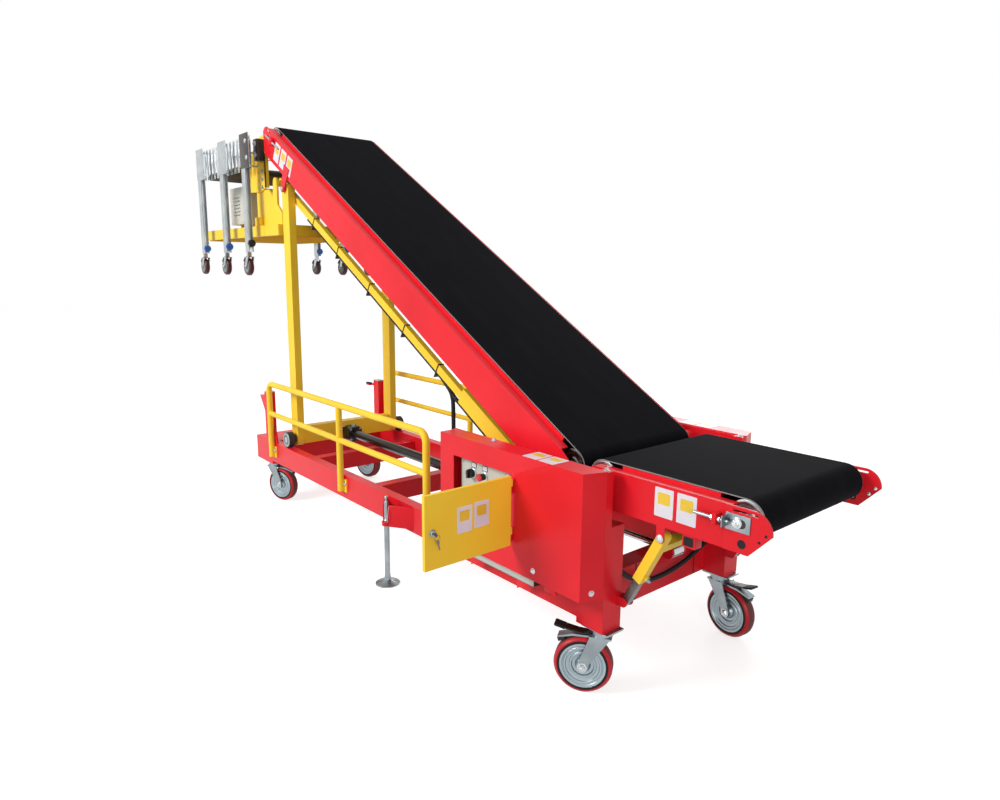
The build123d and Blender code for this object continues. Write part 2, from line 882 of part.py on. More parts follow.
def head_brackets():
    """The plates that hang from the head drum's shaft and carry the platform, each on an upright."""
    y0 = bracket_inner
    y1 = bracket_inner + bracket_thickness
    front = Polyline((bracket_rear + 18, y0, bracket_bottom + 8), (bracket_front - 60, y0, bracket_bottom),
                     (bracket_front, y0, bracket_bottom + 20), (bracket_front, y0, head_z - 70),
                     (head_x, y0, head_z - 38), (head_x + 36, y0, head_z), (head_x + 10, y0, head_z + 30),
                     (head_x - 30, y0, head_z + 38), (bracket_front - 90, y0, head_z + 20),
                     (bracket_rear + 62, y0, head_z - 64))
    bulge = ThreePointArc(front @ 1, (bracket_rear, y0, bracket_bottom + 90), front @ 0)
    side = extrude(make_face([front, bulge]), amount=bracket_thickness, dir=(0, 1, 0))
    for k in range(3):
        z = bracket_bottom + bracket_hole_first - 6 + k * bracket_hole_rise
        for x in (bracket_front - bracket_hole_first, bracket_front - bracket_hole_first - bracket_hole_spacing):
            side -= shaft_y(x, y0, y1, z, bracket_hole)
    side += block(upright_rear, upright_front, y0 - upright_width, y0, platform_top, bracket_bottom + 10)
    side -= shaft_y(head_x, y0, y1, head_z, drum_shaft + running_gap)
    side += head_gusset() + link_head()
    return both_sides(side)


def head_gusset():
    x1 = platform_front
    outline = [(upright_front, platform_top), (x1, platform_top), (x1, platform_top + gusset_front_height),
               (head_x - gusset_top_behind, bracket_bottom + 10), (upright_front, bracket_bottom + 10)]
    return plate(outline, bracket_inner - gusset_thickness, bracket_inner)


def link_head():
    """The arm from a gusset up to the upper pin of a levelling link."""
    x = head_x
    z = head_z - link_drop
    y1 = bracket_inner
    arm = plate([(x - link_eye, z), (x + link_eye, z), (x + link_eye, platform_top + 90),
                 (x - 2 * link_eye, platform_top + 90)], y1 - gusset_thickness, y1)
    arm += shaft_y(x, y1 - gusset_thickness, y1, z, link_eye)
    return arm + shaft_y(x, link_inner, y1, z, link_pin)


def platform_frame():
    z0 = platform_top - platform_beam_height
    y1 = platform_outer
    y0 = y1 - platform_beam_width
    beam = block(platform_rear, platform_front, y0, y1, z0, platform_top)
    frame = beam + mirrored(beam)
    for x in (platform_rear, platform_front - platform_beam_width - platform_middle,
              platform_front - platform_beam_width):
        frame += block(x, x + platform_beam_width, -y0, y0, z0, platform_top)
    return frame


def platform_floor():
    y0 = platform_outer - platform_beam_width
    z0 = platform_top - platform_beam_height
    return block(platform_rear, platform_front, -y0, y0, z0 - floor_thickness, z0)


def head_box():
    z0 = platform_top - platform_beam_height
    z1 = platform_top + head_box_lift
    box = block(head_box_rear, head_box_front, head_box_outer, head_box_inner, z1, z1 + head_box_height)
    for k in range(6):
        z = z1 + 60 + 22 * k
        box -= block(head_box_rear + 70, head_box_front - 70, head_box_outer, head_box_outer + 4, z, z + 9)
    for x in (head_box_rear + 15, head_box_front - 35):
        box += block(x, x + 20, head_box_outer + 60, head_box_outer + 120, z0, z1)
    return box


# Folded roller track

def track_pitch():
    return track_length / track_bays


def track_lattice():
    """Upright bars on each side, close together, with the crossing bars of the folded scissor behind them."""
    pitch = track_pitch()
    half = track_bar_width / 2
    y2 = track_outer
    y1 = y2 - track_bar_thickness
    y0 = y1 - track_bar_thickness
    side = None
    for k in range(track_bays + 1):
        x = track_first - k * pitch
        bar = block(x - half, x + half, y1, y2, track_low, track_top)
        side = bar if side is None else side + bar
    for k in range(track_bays):
        x = track_first - k * pitch
        side += plate([(x - half / 2, track_low), (x + half / 2, track_low), (x - pitch + half / 2, track_top),
                       (x - pitch - half / 2, track_top)], y0, y1)
    seat = y2 - track_bar_thickness / 2
    for z in (track_top - track_bar_length / 2, track_low + track_roller_radius):
        side += shaft_y(track_first, bracket_inner + bracket_thickness, seat, z, track_stub)
    tie = shaft_y(track_last, -seat, seat, track_top - 2 * track_tie, track_tie)
    return side + mirrored(side) + tie


def track_rollers():
    """Rollers between the sides, behind the brackets that carry the track."""
    y0 = track_outer - 2 * track_bar_thickness
    z = track_low + track_roller_radius
    rolls = []
    for k in range(track_bays):
        x = track_first - k * track_pitch()
        if x + track_roller_radius < bracket_rear - side_gap:
            roll = shaft_y(x, -y0 + track_roller_gap, y0 - track_roller_gap, z, track_roller_radius)
            rolls.append(roll + shaft_y(x, -y0, y0, z, track_roller_axle))
    return group(*rolls)


def leg_places():
    return [track_first - along for along in leg_spacing]


def track_leg(x):
    """A channel open forward under its wide top plate, with an inner tube, a fork and an axle below."""
    half = leg_depth / 2
    y0 = leg_y - leg_width / 2
    y1 = leg_y + leg_width / 2
    leg = block(x - half, x + half, y0, y1, leg_bottom, track_top)
    leg -= block(x - half + leg_wall, x + half, y0 + leg_wall, y1 - leg_wall, leg_bottom, track_top)
    leg += block(x - half, x - half + leg_plate_length, y1, y1 + leg_wall, track_top - leg_plate_height, track_top)
    leg += block(x - half, x + half, track_outer, y0, track_low + half, track_top - half)
    z = small_wheel_z
    crown = z + small_wheel_radius + side_gap
    tube = inner_leg / 2
    leg += block(x - half + leg_wall, x - half + leg_wall + inner_leg, leg_y - tube, leg_y + tube, crown,
                 leg_bottom + leg_depth)
    leg += block(x - small_trail - 14, x + 14, leg_y - small_fork_half, leg_y + small_fork_half, crown,
                 crown + small_fork_plate)
    for y in (leg_y - small_fork_half, leg_y + small_fork_half - small_fork_plate):
        leg += plate([(x - 16, crown), (x + 14, crown), (x - small_trail + 12, z - 8), (x - small_trail - 12, z - 8)],
                     y, y + small_fork_plate)
    return leg + shaft_y(x - small_trail, leg_y - small_fork_half, leg_y + small_fork_half, z, small_axle)


def track_legs():
    return group(*[both_sides(track_leg(x)) for x in leg_places()])


def small_wheel(x, side):
    y = side * leg_y
    wheel = Cylinder(small_wheel_radius, small_wheel_width)
    wheel = chamfer(wheel.edges(), small_wheel_width / 5)
    wheel -= Cylinder(small_axle + running_gap, small_wheel_width)
    return Pos(x - small_trail, y, small_wheel_z) * Rot(90, 0, 0) * wheel


# Loading belt

def on_infeed(shape):
    """From a frame with the rear drum at the origin and the other at negative X, turned to face forward."""
    return placed(Pos(infeed_x, 0, infeed_z) * Rot(0, 0, 180), shape)


def infeed_plates():
    top = infeed_z + infeed_flange
    low = top - infeed_depth
    x0 = infeed_x
    nose = x0 + infeed_nose
    y0 = side_outer - side_sheet
    outline = [(x0 - 46, infeed_z), (x0 - 36, infeed_z + 30), (x0 - 8, top), (x0 + infeed_seam, top),
               (x0 + infeed_seam, low), (x0 + 60, low), (x0 - 36, infeed_z - 30)]
    side = plate(outline, y0, side_outer)
    seam = x0 + infeed_seam
    outer = side_outer + infeed_end_step
    end = Polyline((nose, y0, top - infeed_nose_drop), (nose - 66, y0, low), (seam - infeed_lap, y0, low),
                   (seam - infeed_lap, y0, top), (nose - infeed_nose_drop, y0, top))
    inset = infeed_nose_drop * (1 - math.sqrt(0.5))
    tip = ThreePointArc(end @ 1, (nose - inset, y0, top - inset), end @ 0)
    side += extrude(make_face([end, tip]), amount=outer - y0, dir=(0, 1, 0))
    side += block(x0 - 8, seam, bed_half_width, y0, top - side_sheet, top)
    side += block(x0 + 40, seam - 30, side_outer - boom_lip, y0, low, low + side_sheet)
    side += lug(brace_top_x, brace_top_z, 14, brace_top_x - 16, brace_top_x + 16, low + 16, y0, side_outer)
    side -= shaft_y(x0, y0, side_outer, infeed_z, drum_shaft + running_gap)
    side -= block(x0 + infeed_seam + 6, nose - 44, y0, outer, top - 16, top - 9)
    side -= shaft_y(x0 + infeed_length, y0, outer, infeed_z, drum_shaft + running_gap)
    side -= shaft_y(nose - 86, y0, outer, low + 28, cross_hole)
    side += shaft_y(brace_top_x, brace_y - brace_tube / 2 + 1, y0, brace_top_z, brace_pin)
    return both_sides(side)


def infeed_bed():
    bed = bed_tray(infeed_length, infeed_flange)
    inner = side_outer - side_sheet
    for x in (-130, -370):
        bed += block(x - 15, x + 15, -bed_half_width, bed_half_width, infeed_flange - 30, infeed_flange - 4)
        bed += block(x - 15, x + 15, -inner, inner, infeed_flange - 30, infeed_flange - side_sheet)
    return on_infeed(bed)


def infeed_belt():
    return on_infeed(belt_loop(infeed_length))


def infeed_drums():
    rear = drum(0) + shaft_y(0, -(half_width - cheek_thickness - 2), half_width - cheek_thickness - 2, 0, drum_shaft)
    front = drum(-infeed_length) + shaft_y(-infeed_length, -(side_outer + 1), side_outer + 1, 0, drum_shaft)
    return on_infeed(group(rear, front))


def infeed_tensioners():
    """On each side an angle plate on the front drum's shaft, pulled by a threaded rod through a block."""
    x0 = infeed_x + infeed_length - slide_angle_behind
    y0 = side_outer + infeed_end_step
    half = slide_angle_height / 2
    middle = y0 + slide_angle_leg / 2
    angle = block(x0, x0 + slide_angle_length, y0, y0 + slide_angle, infeed_z - half, infeed_z + half)
    angle += block(x0, x0 + slide_angle, y0, y0 + slide_angle_leg, infeed_z - half * 0.7, infeed_z + half * 0.7)
    angle += shaft_x(x0 + slide_angle + 11 - slide_rod_length, x0 + slide_angle + 11, middle, infeed_z, tension_rod)
    x1 = x0 - 2 * slide_block
    angle += block(x1 - slide_block / 2, x1 + slide_block / 2, y0, y0 + slide_angle_leg - 2, infeed_z - half * 0.6,
                   infeed_z + half * 0.6)
    return both_sides(angle)


# Telescopic brace, built upright below its upper pin and then leaned

def on_brace(shape):
    return placed(Pos(brace_top_x, 0, brace_top_z) * Rot(0, 90 - brace_angle, 0), shape)


def brace_frame():
    half = brace_tube / 2
    hollow = half - brace_wall
    tube = block(-half, half, brace_y - half, brace_y + half, -brace_outer_length, 0)
    tube += shaft_y(0, brace_y - half, brace_y + half, 0, half)
    tube -= block(-hollow, hollow, brace_y - hollow, brace_y + hollow, -brace_outer_length, -half - 4)
    tube -= shaft_y(0, brace_y - half, brace_y + half, 0, brace_pin + running_gap)
    cross = block(-half, half, -(brace_y - half), brace_y - half, -2 * half - 24, -half - 10)
    return on_brace(tube + mirrored(tube) + cross)


def brace_legs():
    half = brace_inner / 2
    leg = block(-half, half, brace_y - half, brace_y + half, -brace_length, -brace_outer_length + brace_overlap)
    leg += shaft_y(0, brace_y - half, brace_y + half, -brace_length, half)
    return on_brace(both_sides(leg))


# One solid or group of solids for each named piece

pieces = {
    "chassis_frame": chassis_frame,
    "cheek_plates": cheek_plates,
    "link_lugs": link_lugs,
    "rest_stands": rest_stands,
    "rest_pads": rest_pads,
    "side_cabinets": side_cabinets,
    "control_box": control_box,
    "panel_switches": panel_switches,
    "cabinet_tray": cabinet_tray,
    "guard_rails": guard_rails,
    "jack_brackets": jack_brackets,
    "jack_leg_near": lambda: jack_leg(-1),
    "jack_leg_far": lambda: jack_leg(1),
    "caster_plates": caster_plates,
    "cylinder_rod": cylinder_rod,
    "brace_brackets": brace_brackets,
    "cabinet_door": cabinet_door,
    "boom_plates": boom_plates,
    "boom_ears": boom_ears,
    "boom_bed": boom_bed,
    "boom_belt": boom_belt,
    "boom_drums": boom_drums,
    "boom_tensioners": boom_tensioners,
    "mast_frame": mast_frame,
    "foot_rollers": foot_rollers,
    "cylinder_barrel": cylinder_barrel,
    "link_bars": link_bars,
    "link_hose": link_hose,
    "head_brackets": head_brackets,
    "platform_frame": platform_frame,
    "platform_floor": platform_floor,
    "head_box": head_box,
    "track_lattice": track_lattice,
    "track_rollers": track_rollers,
    "track_legs": track_legs,
    "infeed_plates": infeed_plates,
    "infeed_bed": infeed_bed,
    "infeed_belt": infeed_belt,
    "infeed_drums": infeed_drums,
    "infeed_tensioners": infeed_tensioners,
    "brace_frame": brace_frame,
    "brace_legs": brace_legs,
}

os.makedirs("parts", exist_ok=True)
for name, make in pieces.items():
    export_step(make(), f"parts/{name}.step")
for name, x, side, heading in casters:
    for part, make in (("fork", caster_fork), ("tyre", caster_tyre), ("rim", caster_rim)):
        export_step(at_caster(make(), x, side, heading), f"parts/caster_{part}_{name}.step")
for k, x in enumerate(leg_places(), 1):
    for label, side in (("near", -1), ("far", 1)):
        export_step(small_wheel(x, side), f"parts/small_wheel_{label}_{k}.step")
print("foot travel", round(barrel_stroke(), 3), "head", round(head_x, 2), round(head_z, 2))
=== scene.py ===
import math

import bmesh
import bpy
from mathutils import Matrix, Vector


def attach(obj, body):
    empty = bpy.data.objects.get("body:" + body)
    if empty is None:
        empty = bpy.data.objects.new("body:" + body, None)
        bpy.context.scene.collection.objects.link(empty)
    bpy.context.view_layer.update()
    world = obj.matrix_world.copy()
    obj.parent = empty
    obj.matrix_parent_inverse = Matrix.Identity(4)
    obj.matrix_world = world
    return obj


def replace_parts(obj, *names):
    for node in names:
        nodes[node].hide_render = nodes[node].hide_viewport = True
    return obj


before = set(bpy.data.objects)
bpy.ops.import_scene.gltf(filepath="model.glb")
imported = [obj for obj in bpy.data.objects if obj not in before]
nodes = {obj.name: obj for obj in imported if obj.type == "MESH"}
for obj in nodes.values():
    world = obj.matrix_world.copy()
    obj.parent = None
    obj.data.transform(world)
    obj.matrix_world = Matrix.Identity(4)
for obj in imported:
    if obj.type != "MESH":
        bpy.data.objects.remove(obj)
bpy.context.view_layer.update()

# Camera, solved from the photograph: place in metres, turns in degrees, lens and sensor in millimetres
camera_place = (1.3938, -2.0233, 1.3977)
camera_yaw = 40.384
camera_pitch = 10.3615
camera_roll = 0.5913
camera_lens = 25.49
sensor_width = 36

# Sizes shared with the CAD part, in metres
tilt = math.radians(30.3)
boom_length = 2.715
tail_x = -0.245
tail_z = 0.7405
link_drop = 0.235
head_x = tail_x - boom_length * math.cos(tilt)
head_z = tail_z + boom_length * math.sin(tilt)
belt_edge = 0.298
belt_radius = 0.060
plate_face = 0.339
infeed_x = -0.100
infeed_z = 0.730
infeed_length = 0.517
infeed_face = 0.342
side_face = 0.394
cabinet_face = 0.478
cabinet_top = 0.788
door_face = -0.343
box_face = 0.447
platform_top = head_z - 0.470
track_first = head_x - 0.201
track_length = 0.765
track_bars = 14
track_pitch = track_length / (track_bars - 1)
track_top = head_z + 0.035
track_face = 0.376
leg_y = 0.402
leg_xs = (track_first, track_first - 0.360, track_first - track_length)
small_wheel_z = 1.4045
small_wheel_trail = 0.024
box_right = head_x - 0.811
box_foot = platform_top + 0.045
box_near = 0.190
ear_x = -2.430
ear_z = 1.825
foot_axle_x = -2.430
foot_axle_z = 0.425
guard_post_xs = (-2.583, -1.730, -0.970)
stand_x = -2.670
stand_y = 0.373
stand_top = 0.6725
jack_x = -1.220
jack_y = 0.456
hinge_x = -0.352
hinge_y = -0.486
hinge_zs = (0.501, 0.674)
knob_x = -0.610
button_x = -0.545
switch_z = 0.655
link_hose_y = -0.2725
brace_head_x = 0.164
brace_head_z = 0.606
brace_foot_x = 0.030
brace_foot_z = 0.345

# Holes in the loading belt's side plates: x, z, radius
plate_holes = ((0.434, 0.673, 0.0128), (0.5026, 0.7155, 0.0042), (0.4845, 0.693, 0.0042))

# Cords, in metres
hose_radius = 0.009

# Casters: name, swivel x, side, and the way the wheel trails, in degrees
casters = (
    ("front_near", -0.040, -1, 215),
    ("front_far", -0.040, 1, -6),
    ("rear_near", -2.700, -1, 22),
    ("rear_far", -2.700, 1, 195),
)
caster_y = 0.346
caster_trail = 0.060
axle_z = 0.100
fork_top = 0.2335

# Lamps: name, place, target, size in metres, power in watts
lamps = (
    ("key", (-3.2, -6.2, 4.6), (-1.4, 0, 0.9), 3.0, 400),
    ("fill", (4.6, -3.2, 2.6), (-0.8, 0, 0.9), 3.0, 100),
    ("back", (-3.4, 6.0, 3.4), (-1.4, 0, 0.9), 3.0, 110),
)

# Colours, as they look in plain light
red = (0.80, 0.015, 0.027)
red_shade = (0.71, 0.011, 0.020)
yellow = (0.97, 0.66, 0.045)
yellow_shade = (0.94, 0.60, 0.036)
belt_black = (0.0040, 0.0040, 0.0055)
belt_worn = (0.0085, 0.0085, 0.0100)


# Materials

def new_material(name):
    material = bpy.data.materials.new(name)
    material.use_nodes = True
    tree = material.node_tree
    return material, tree, tree.nodes["Principled BSDF"]


def coordinates(tree, scale):
    """Object coordinates in metres, multiplied up to the pattern's scale."""
    where = tree.nodes.new("ShaderNodeTexCoord")
    mapping = tree.nodes.new("ShaderNodeMapping")
    mapping.inputs["Scale"].default_value = scale
    tree.links.new(where.outputs["Object"], mapping.inputs["Vector"])
    return mapping.outputs["Vector"]


def noise(tree, scale, detail=3.0, stretch=(1, 1, 1)):
    texture = tree.nodes.new("ShaderNodeTexNoise")
    texture.inputs["Scale"].default_value = scale
    texture.inputs["Detail"].default_value = detail
    tree.links.new(coordinates(tree, stretch), texture.inputs["Vector"])
    return texture.outputs["Fac"]


def ramp(tree, value, stops):
    """Turns a value into a colour through (place, colour) stops."""
    node = tree.nodes.new("ShaderNodeValToRGB")
    elements = node.color_ramp.elements
    while len(elements) < len(stops):
        elements.new(0.5)
    for element, (place, colour) in zip(elements, stops):
        element.position = place
        element.color = (*colour, 1)
    tree.links.new(value, node.inputs["Fac"])
    return node.outputs["Color"]


def spread(tree, value, low, high):
    """Maps a value between 0 and 1 to one between low and high."""
    node = tree.nodes.new("ShaderNodeMapRange")
    node.inputs["To Min"].default_value = low
    node.inputs["To Max"].default_value = high
    tree.links.new(value, node.inputs["Value"])
    return node.outputs["Result"]


def bump(tree, shader, value, strength, distance, normal=None):
    node = tree.nodes.new("ShaderNodeBump")
    node.inputs["Strength"].default_value = strength
    node.inputs["Distance"].default_value = distance
    tree.links.new(value, node.inputs["Height"])
    if normal is not None:
        tree.links.new(normal, node.inputs["Normal"])
    tree.links.new(node.outputs["Normal"], shader.inputs["Normal"])


def soft_edges(tree, radius):
    node = tree.nodes.new("ShaderNodeBevel")
    node.samples = 4
    node.inputs["Radius"].default_value = radius
    return node.outputs["Normal"]


def paint(name, colour, shade, gloss=0.27, shine=0.20):
    """Sprayed gloss paint: slow changes of tone, uneven gloss and a slight orange peel."""
    material, tree, shader = new_material(name)
    tone = noise(tree, 2.2, 4.0)
    tree.links.new(ramp(tree, tone, ((0.38, shade), (0.60, colour))), shader.inputs["Base Color"])
    tree.links.new(spread(tree, noise(tree, 14.0), gloss, gloss + 0.10), shader.inputs["Roughness"])
    shader.inputs["Specular IOR Level"].default_value = shine
    bump(tree, shader, noise(tree, 180.0, 2.0), 0.05, 0.0003, soft_edges(tree, 0.0015))
    return material


def metal(name, colour, shade, roughness, scale=14.0, stretch=(1, 1, 1), grain=0.03):
    """Bare or plated metal with a soft bloom and a fine grain."""
    material, tree, shader = new_material(name)
    bloom = noise(tree, scale, 4.0, stretch)
    tree.links.new(ramp(tree, bloom, ((0.32, shade), (0.68, colour))), shader.inputs["Base Color"])
    shader.inputs["Metallic"].default_value = 1.0
    tree.links.new(spread(tree, bloom, roughness, roughness + 0.12), shader.inputs["Roughness"])
    bump(tree, shader, noise(tree, scale * 9, 2.0, stretch), grain, 0.0002, soft_edges(tree, 0.0008))
    return material


def plastic(name, colour, roughness=0.45, shine=0.30):
    """Moulded plastic, rubber or a printed sheet, with a fine grain."""
    material, tree, shader = new_material(name)
    darker = tuple(0.82 * c for c in colour)
    tree.links.new(ramp(tree, noise(tree, 8.0), ((0.3, darker), (0.7, colour))), shader.inputs["Base Color"])
    tree.links.new(spread(tree, noise(tree, 60.0), roughness, roughness + 0.12), shader.inputs["Roughness"])
    shader.inputs["Specular IOR Level"].default_value = shine
    bump(tree, shader, noise(tree, 500.0, 2.0), 0.10, 0.0002)
    return material


def belt_material():
    """Black belt: a matt cover with a fine cross weave and faint scuffs along the run."""
    material, tree, shader = new_material("belt")
    dust = noise(tree, 4.0, 6.0, (1, 4, 1))
    tree.links.new(ramp(tree, dust, ((0.40, belt_black), (0.80, belt_worn))), shader.inputs["Base Color"])
    tree.links.new(spread(tree, dust, 0.74, 0.90), shader.inputs["Roughness"])
    shader.inputs["Specular IOR Level"].default_value = 0.03
    weave = tree.nodes.new("ShaderNodeTexWave")
    weave.wave_type = "BANDS"
    weave.bands_direction = "Y"
    weave.inputs["Scale"].default_value = 110.0
    weave.inputs["Distortion"].default_value = 0.8
    tree.links.new(coordinates(tree, (1, 1, 1)), weave.inputs["Vector"])
    bump(tree, shader, weave.outputs["Fac"], 0.08, 0.0004)
    return material


materials = {
    "red": paint("red_paint", red, red_shade),
    "yellow": paint("yellow_paint", yellow, yellow_shade, 0.34, 0.18),
    "yellow_matt": paint("yellow_matt", (0.90, 0.50, 0.022), (0.84, 0.44, 0.018), 0.70, 0.02),
    "belt": belt_material(),
    "belt_edge": plastic("belt_edge_cloth", (0.30, 0.30, 0.29), 0.7, 0.15),
    "zinc": metal("zinc_plate", (0.33, 0.38, 0.40), (0.23, 0.27, 0.29), 0.30),
    "bright": metal("bright_zinc", (0.60, 0.63, 0.64), (0.42, 0.46, 0.48), 0.24),
    "strip": metal("polished_strip", (0.80, 0.82, 0.83), (0.72, 0.75, 0.77), 0.26, 3.0, (1, 1, 1), 0.01),
    "steel": metal("rolled_steel", (0.50, 0.50, 0.50), (0.38, 0.38, 0.38), 0.34, 22.0, (1, 6, 1)),
    # Dark steel: the brace legs and the keys. On the boom's tail drum ends it is painted shade.
    "dark_steel_and_painted_shade": metal("dark_steel_and_painted_shade", (0.17, 0.165, 0.16), (0.10, 0.097, 0.095), 0.22, 10.0,
                        (1, 1, 1), 0.02),
    "chrome": metal("rod_chrome", (0.56, 0.56, 0.58), (0.50, 0.50, 0.52), 0.10, 12.0, (1, 1, 1), 0.01),
    "black_paint": paint("black_paint", (0.010, 0.010, 0.011), (0.006, 0.006, 0.007), 0.18, 0.40),
    # Black rubber: pads, hoses and rings. The black discs in the infeed plate holes and the bracket mouths
    # are painted shade.
    "black_rubber": plastic("black_rubber", (0.012, 0.012, 0.013), 0.55, 0.20),
    "black_plastic": plastic("black_plastic", (0.010, 0.010, 0.011), 0.35, 0.35),
    "blue_plastic": plastic("blue_plastic", (0.045, 0.16, 0.62), 0.38, 0.40),
    "grey": paint("grey_box", (0.62, 0.62, 0.55), (0.56, 0.56, 0.50), 0.38, 0.25),
    "pale_channel": paint("pale_channel", (0.52, 0.56, 0.51), (0.46, 0.50, 0.46), 0.32, 0.3),
    # Dark plate: rollers, housings and the leg's cover. At the tray's open end and the infeed slots it is
    # painted shade.
    "dark_plate_and_painted_shade": paint("dark_plate_and_painted_shade", (0.045, 0.040, 0.036), (0.030, 0.027, 0.025), 0.30, 0.3),
    "sign_white": plastic("sign_white", (0.80, 0.78, 0.84), 0.30, 0.35),
    "sign_yellow": plastic("sign_yellow", (0.86, 0.58, 0.05), 0.30, 0.35),
    "red_plastic": plastic("red_plastic", (0.70, 0.012, 0.018), 0.28, 0.45),
    "tyre": plastic("urethane_tyre", (0.62, 0.010, 0.022), 0.34, 0.35),
    "tread": plastic("dark_tread", (0.17, 0.055, 0.052), 0.55, 0.2),
    "small_tyre": plastic("small_tyre", (0.075, 0.022, 0.026), 0.38, 0.3),
    "rim": metal("wheel_rim", (0.36, 0.43, 0.46), (0.28, 0.34, 0.37), 0.32, 9.0),
    "small_rim": plastic("small_rim", (0.22, 0.25, 0.24), 0.4, 0.3),
}

# The material of each CAD node; casters and small wheels are found by the start of their names
node_materials = {
    "chassis_frame": "red", "cheek_plates": "red", "link_lugs": "red", "rest_stands": "red",
    "rest_pads": "black_rubber", "side_cabinets": "red", "control_box": "grey",
    "panel_switches": "black_plastic", "cabinet_tray": "pale_channel", "guard_rails": "yellow",
    "jack_brackets": "red", "caster_plates": "zinc", "cylinder_rod": "chrome", "cabinet_door": "yellow",
    "brace_brackets": "red", "boom_ears": "red", "jack_leg_near": "zinc", "jack_leg_far": "zinc",
    "cylinder_barrel": "black_paint", "foot_rollers": "dark_plate_and_painted_shade",
    "mast_frame": "yellow", "boom_plates": "red", "boom_bed": "red", "boom_belt": "belt",
    "boom_drums": "steel", "boom_tensioners": "bright", "head_brackets": "yellow",
    "platform_frame": "yellow",
    "platform_floor": "yellow_matt", "head_box": "grey", "track_lattice": "strip",
    "track_rollers": "dark_plate_and_painted_shade",
    "track_legs": "bright", "link_bars": "yellow", "link_hose": "black_rubber", "infeed_plates": "red",
    "infeed_bed": "red", "infeed_belt": "belt", "infeed_drums": "bright",
    "infeed_tensioners": "zinc",
    "brace_frame": "yellow", "brace_legs": "dark_steel_and_painted_shade",
}


def finish_for(node):
    if node in node_materials:
        return node_materials[node]
    if node.startswith("caster_fork"):
        return "zinc"
    if node.startswith("caster_tyre"):
        return "tyre"
    if node.startswith("caster_rim"):
        return "rim"
    return "small_tyre"


def dress_nodes():
    for name, piece in nodes.items():
        piece.data.materials.clear()
        piece.data.materials.append(materials[finish_for(name)])


# Places and shapes in the part's frame

def on_top(x, y, z):
    """A frame on a level face."""
    return facing((x, y, z), (0, 0, 1), (0, 1, 0))


def lifted(place, height):
    return place @ Matrix.Translation((0, 0, height))


def turns(steps):
    return [2 * math.pi * k / steps for k in range(steps)]


def bridge(shape, first, second):
    """Faces between two closed rows of as many points."""
    for k in range(len(first)):
        n = (k + 1) % len(first)
        shape.faces.new((first[k], first[n], second[n], second[k]))


def facing(point, normal, up=(0, 0, 1)):
    """A frame at a point with local Z along the normal and local Y along up."""
    z = Vector(normal).normalized()
    y = Vector(up).normalized()
    x = y.cross(z)
    turn = Matrix((x, y, z)).transposed().to_4x4()
    return Matrix.Translation(point) @ turn


def prism(place, outline, height, bevel=0.0, segments=2):
    shape = bmesh.new()
    base = [shape.verts.new(place @ Vector((x, y, 0))) for x, y in outline]
    top = [shape.verts.new(place @ Vector((x, y, height))) for x, y in outline]
    shape.faces.new(base[::-1])
    shape.faces.new(top)
    bridge(shape, base, top)
    if bevel:
        bmesh.ops.bevel(shape, geom=shape.edges[:], offset=bevel, segments=segments, affect="EDGES",
                        profile=0.6)
    return shape


def ring_prism(place, outer, inner, height):
    """A block between two outlines of the same number of points, one inside the other."""
    shape = bmesh.new()
    rings = [[shape.verts.new(place @ Vector((x, y, z))) for x, y in outline]
             for outline, z in ((outer, 0), (outer, height), (inner, height), (inner, 0))]
    for first, second in zip(rings, rings[1:] + rings[:1]):
        bridge(shape, first, second)
    return shape


def rectangle(width, height):
    x, y = width / 2, height / 2
    return [(-x, -y), (x, -y), (x, y), (-x, y)]


def rounded(width, height, radius, steps=4):
    """A rectangle with round corners."""
    points = []
    for cx, cy, start in ((1, 1, 0), (-1, 1, 90), (-1, -1, 180), (1, -1, 270)):
        for k in range(steps + 1):
            a = math.radians(start + 90 * k / steps)
            points.append((cx * (width / 2 - radius) + radius * math.cos(a),
                           cy * (height / 2 - radius) + radius * math.sin(a)))
    return points


def block(x0, x1, y0, y1, z0, z1, bevel=0.0015):
    place = on_top((x0 + x1) / 2, (y0 + y1) / 2, z0)
    return prism(place, rectangle(x1 - x0, y1 - y0), z1 - z0, bevel)


def turned(place, profile, steps=36):
    """A profile of (radius, height) points turned about local Z."""
    shape = bmesh.new()
    rings = []
    for radius, height in profile:
        if radius == 0:
            rings.append([shape.verts.new(place @ Vector((0, 0, height)))])
            continue
        rings.append([shape.verts.new(place @ Vector((radius * math.cos(a), radius * math.sin(a), height)))
                      for a in turns(steps)])
    after = rings[1:] if profile[0][0] == 0 else rings[1:] + rings[:1]
    for low, high in zip(rings, after):
        for k in range(steps):
            n = k + 1
            quad = (low[k % len(low)], low[n % len(low)], high[n % len(high)], high[k % len(high)])
            corners = list(dict.fromkeys(quad))
            if len(corners) > 2:
                shape.faces.new(corners)
    return shape


def nut(place, radius, shoulder, crown, height, steps=6):
    """A disc that narrows above its shoulder: a nut, or a round boss when it has more steps."""
    return turned(place, ((0, 0), (radius, 0), (radius, shoulder), (crown, height), (0, height)), steps)


def side_block(side, x0, x1, inner, outer, z0, z1, bevel=0.0015):
    """A block on the near (-1) or far (1) side, between two distances from the middle."""
    y0, y1 = sorted((side * inner, side * outer))
    return block(x0, x1, y0, y1, z0, z1, bevel)


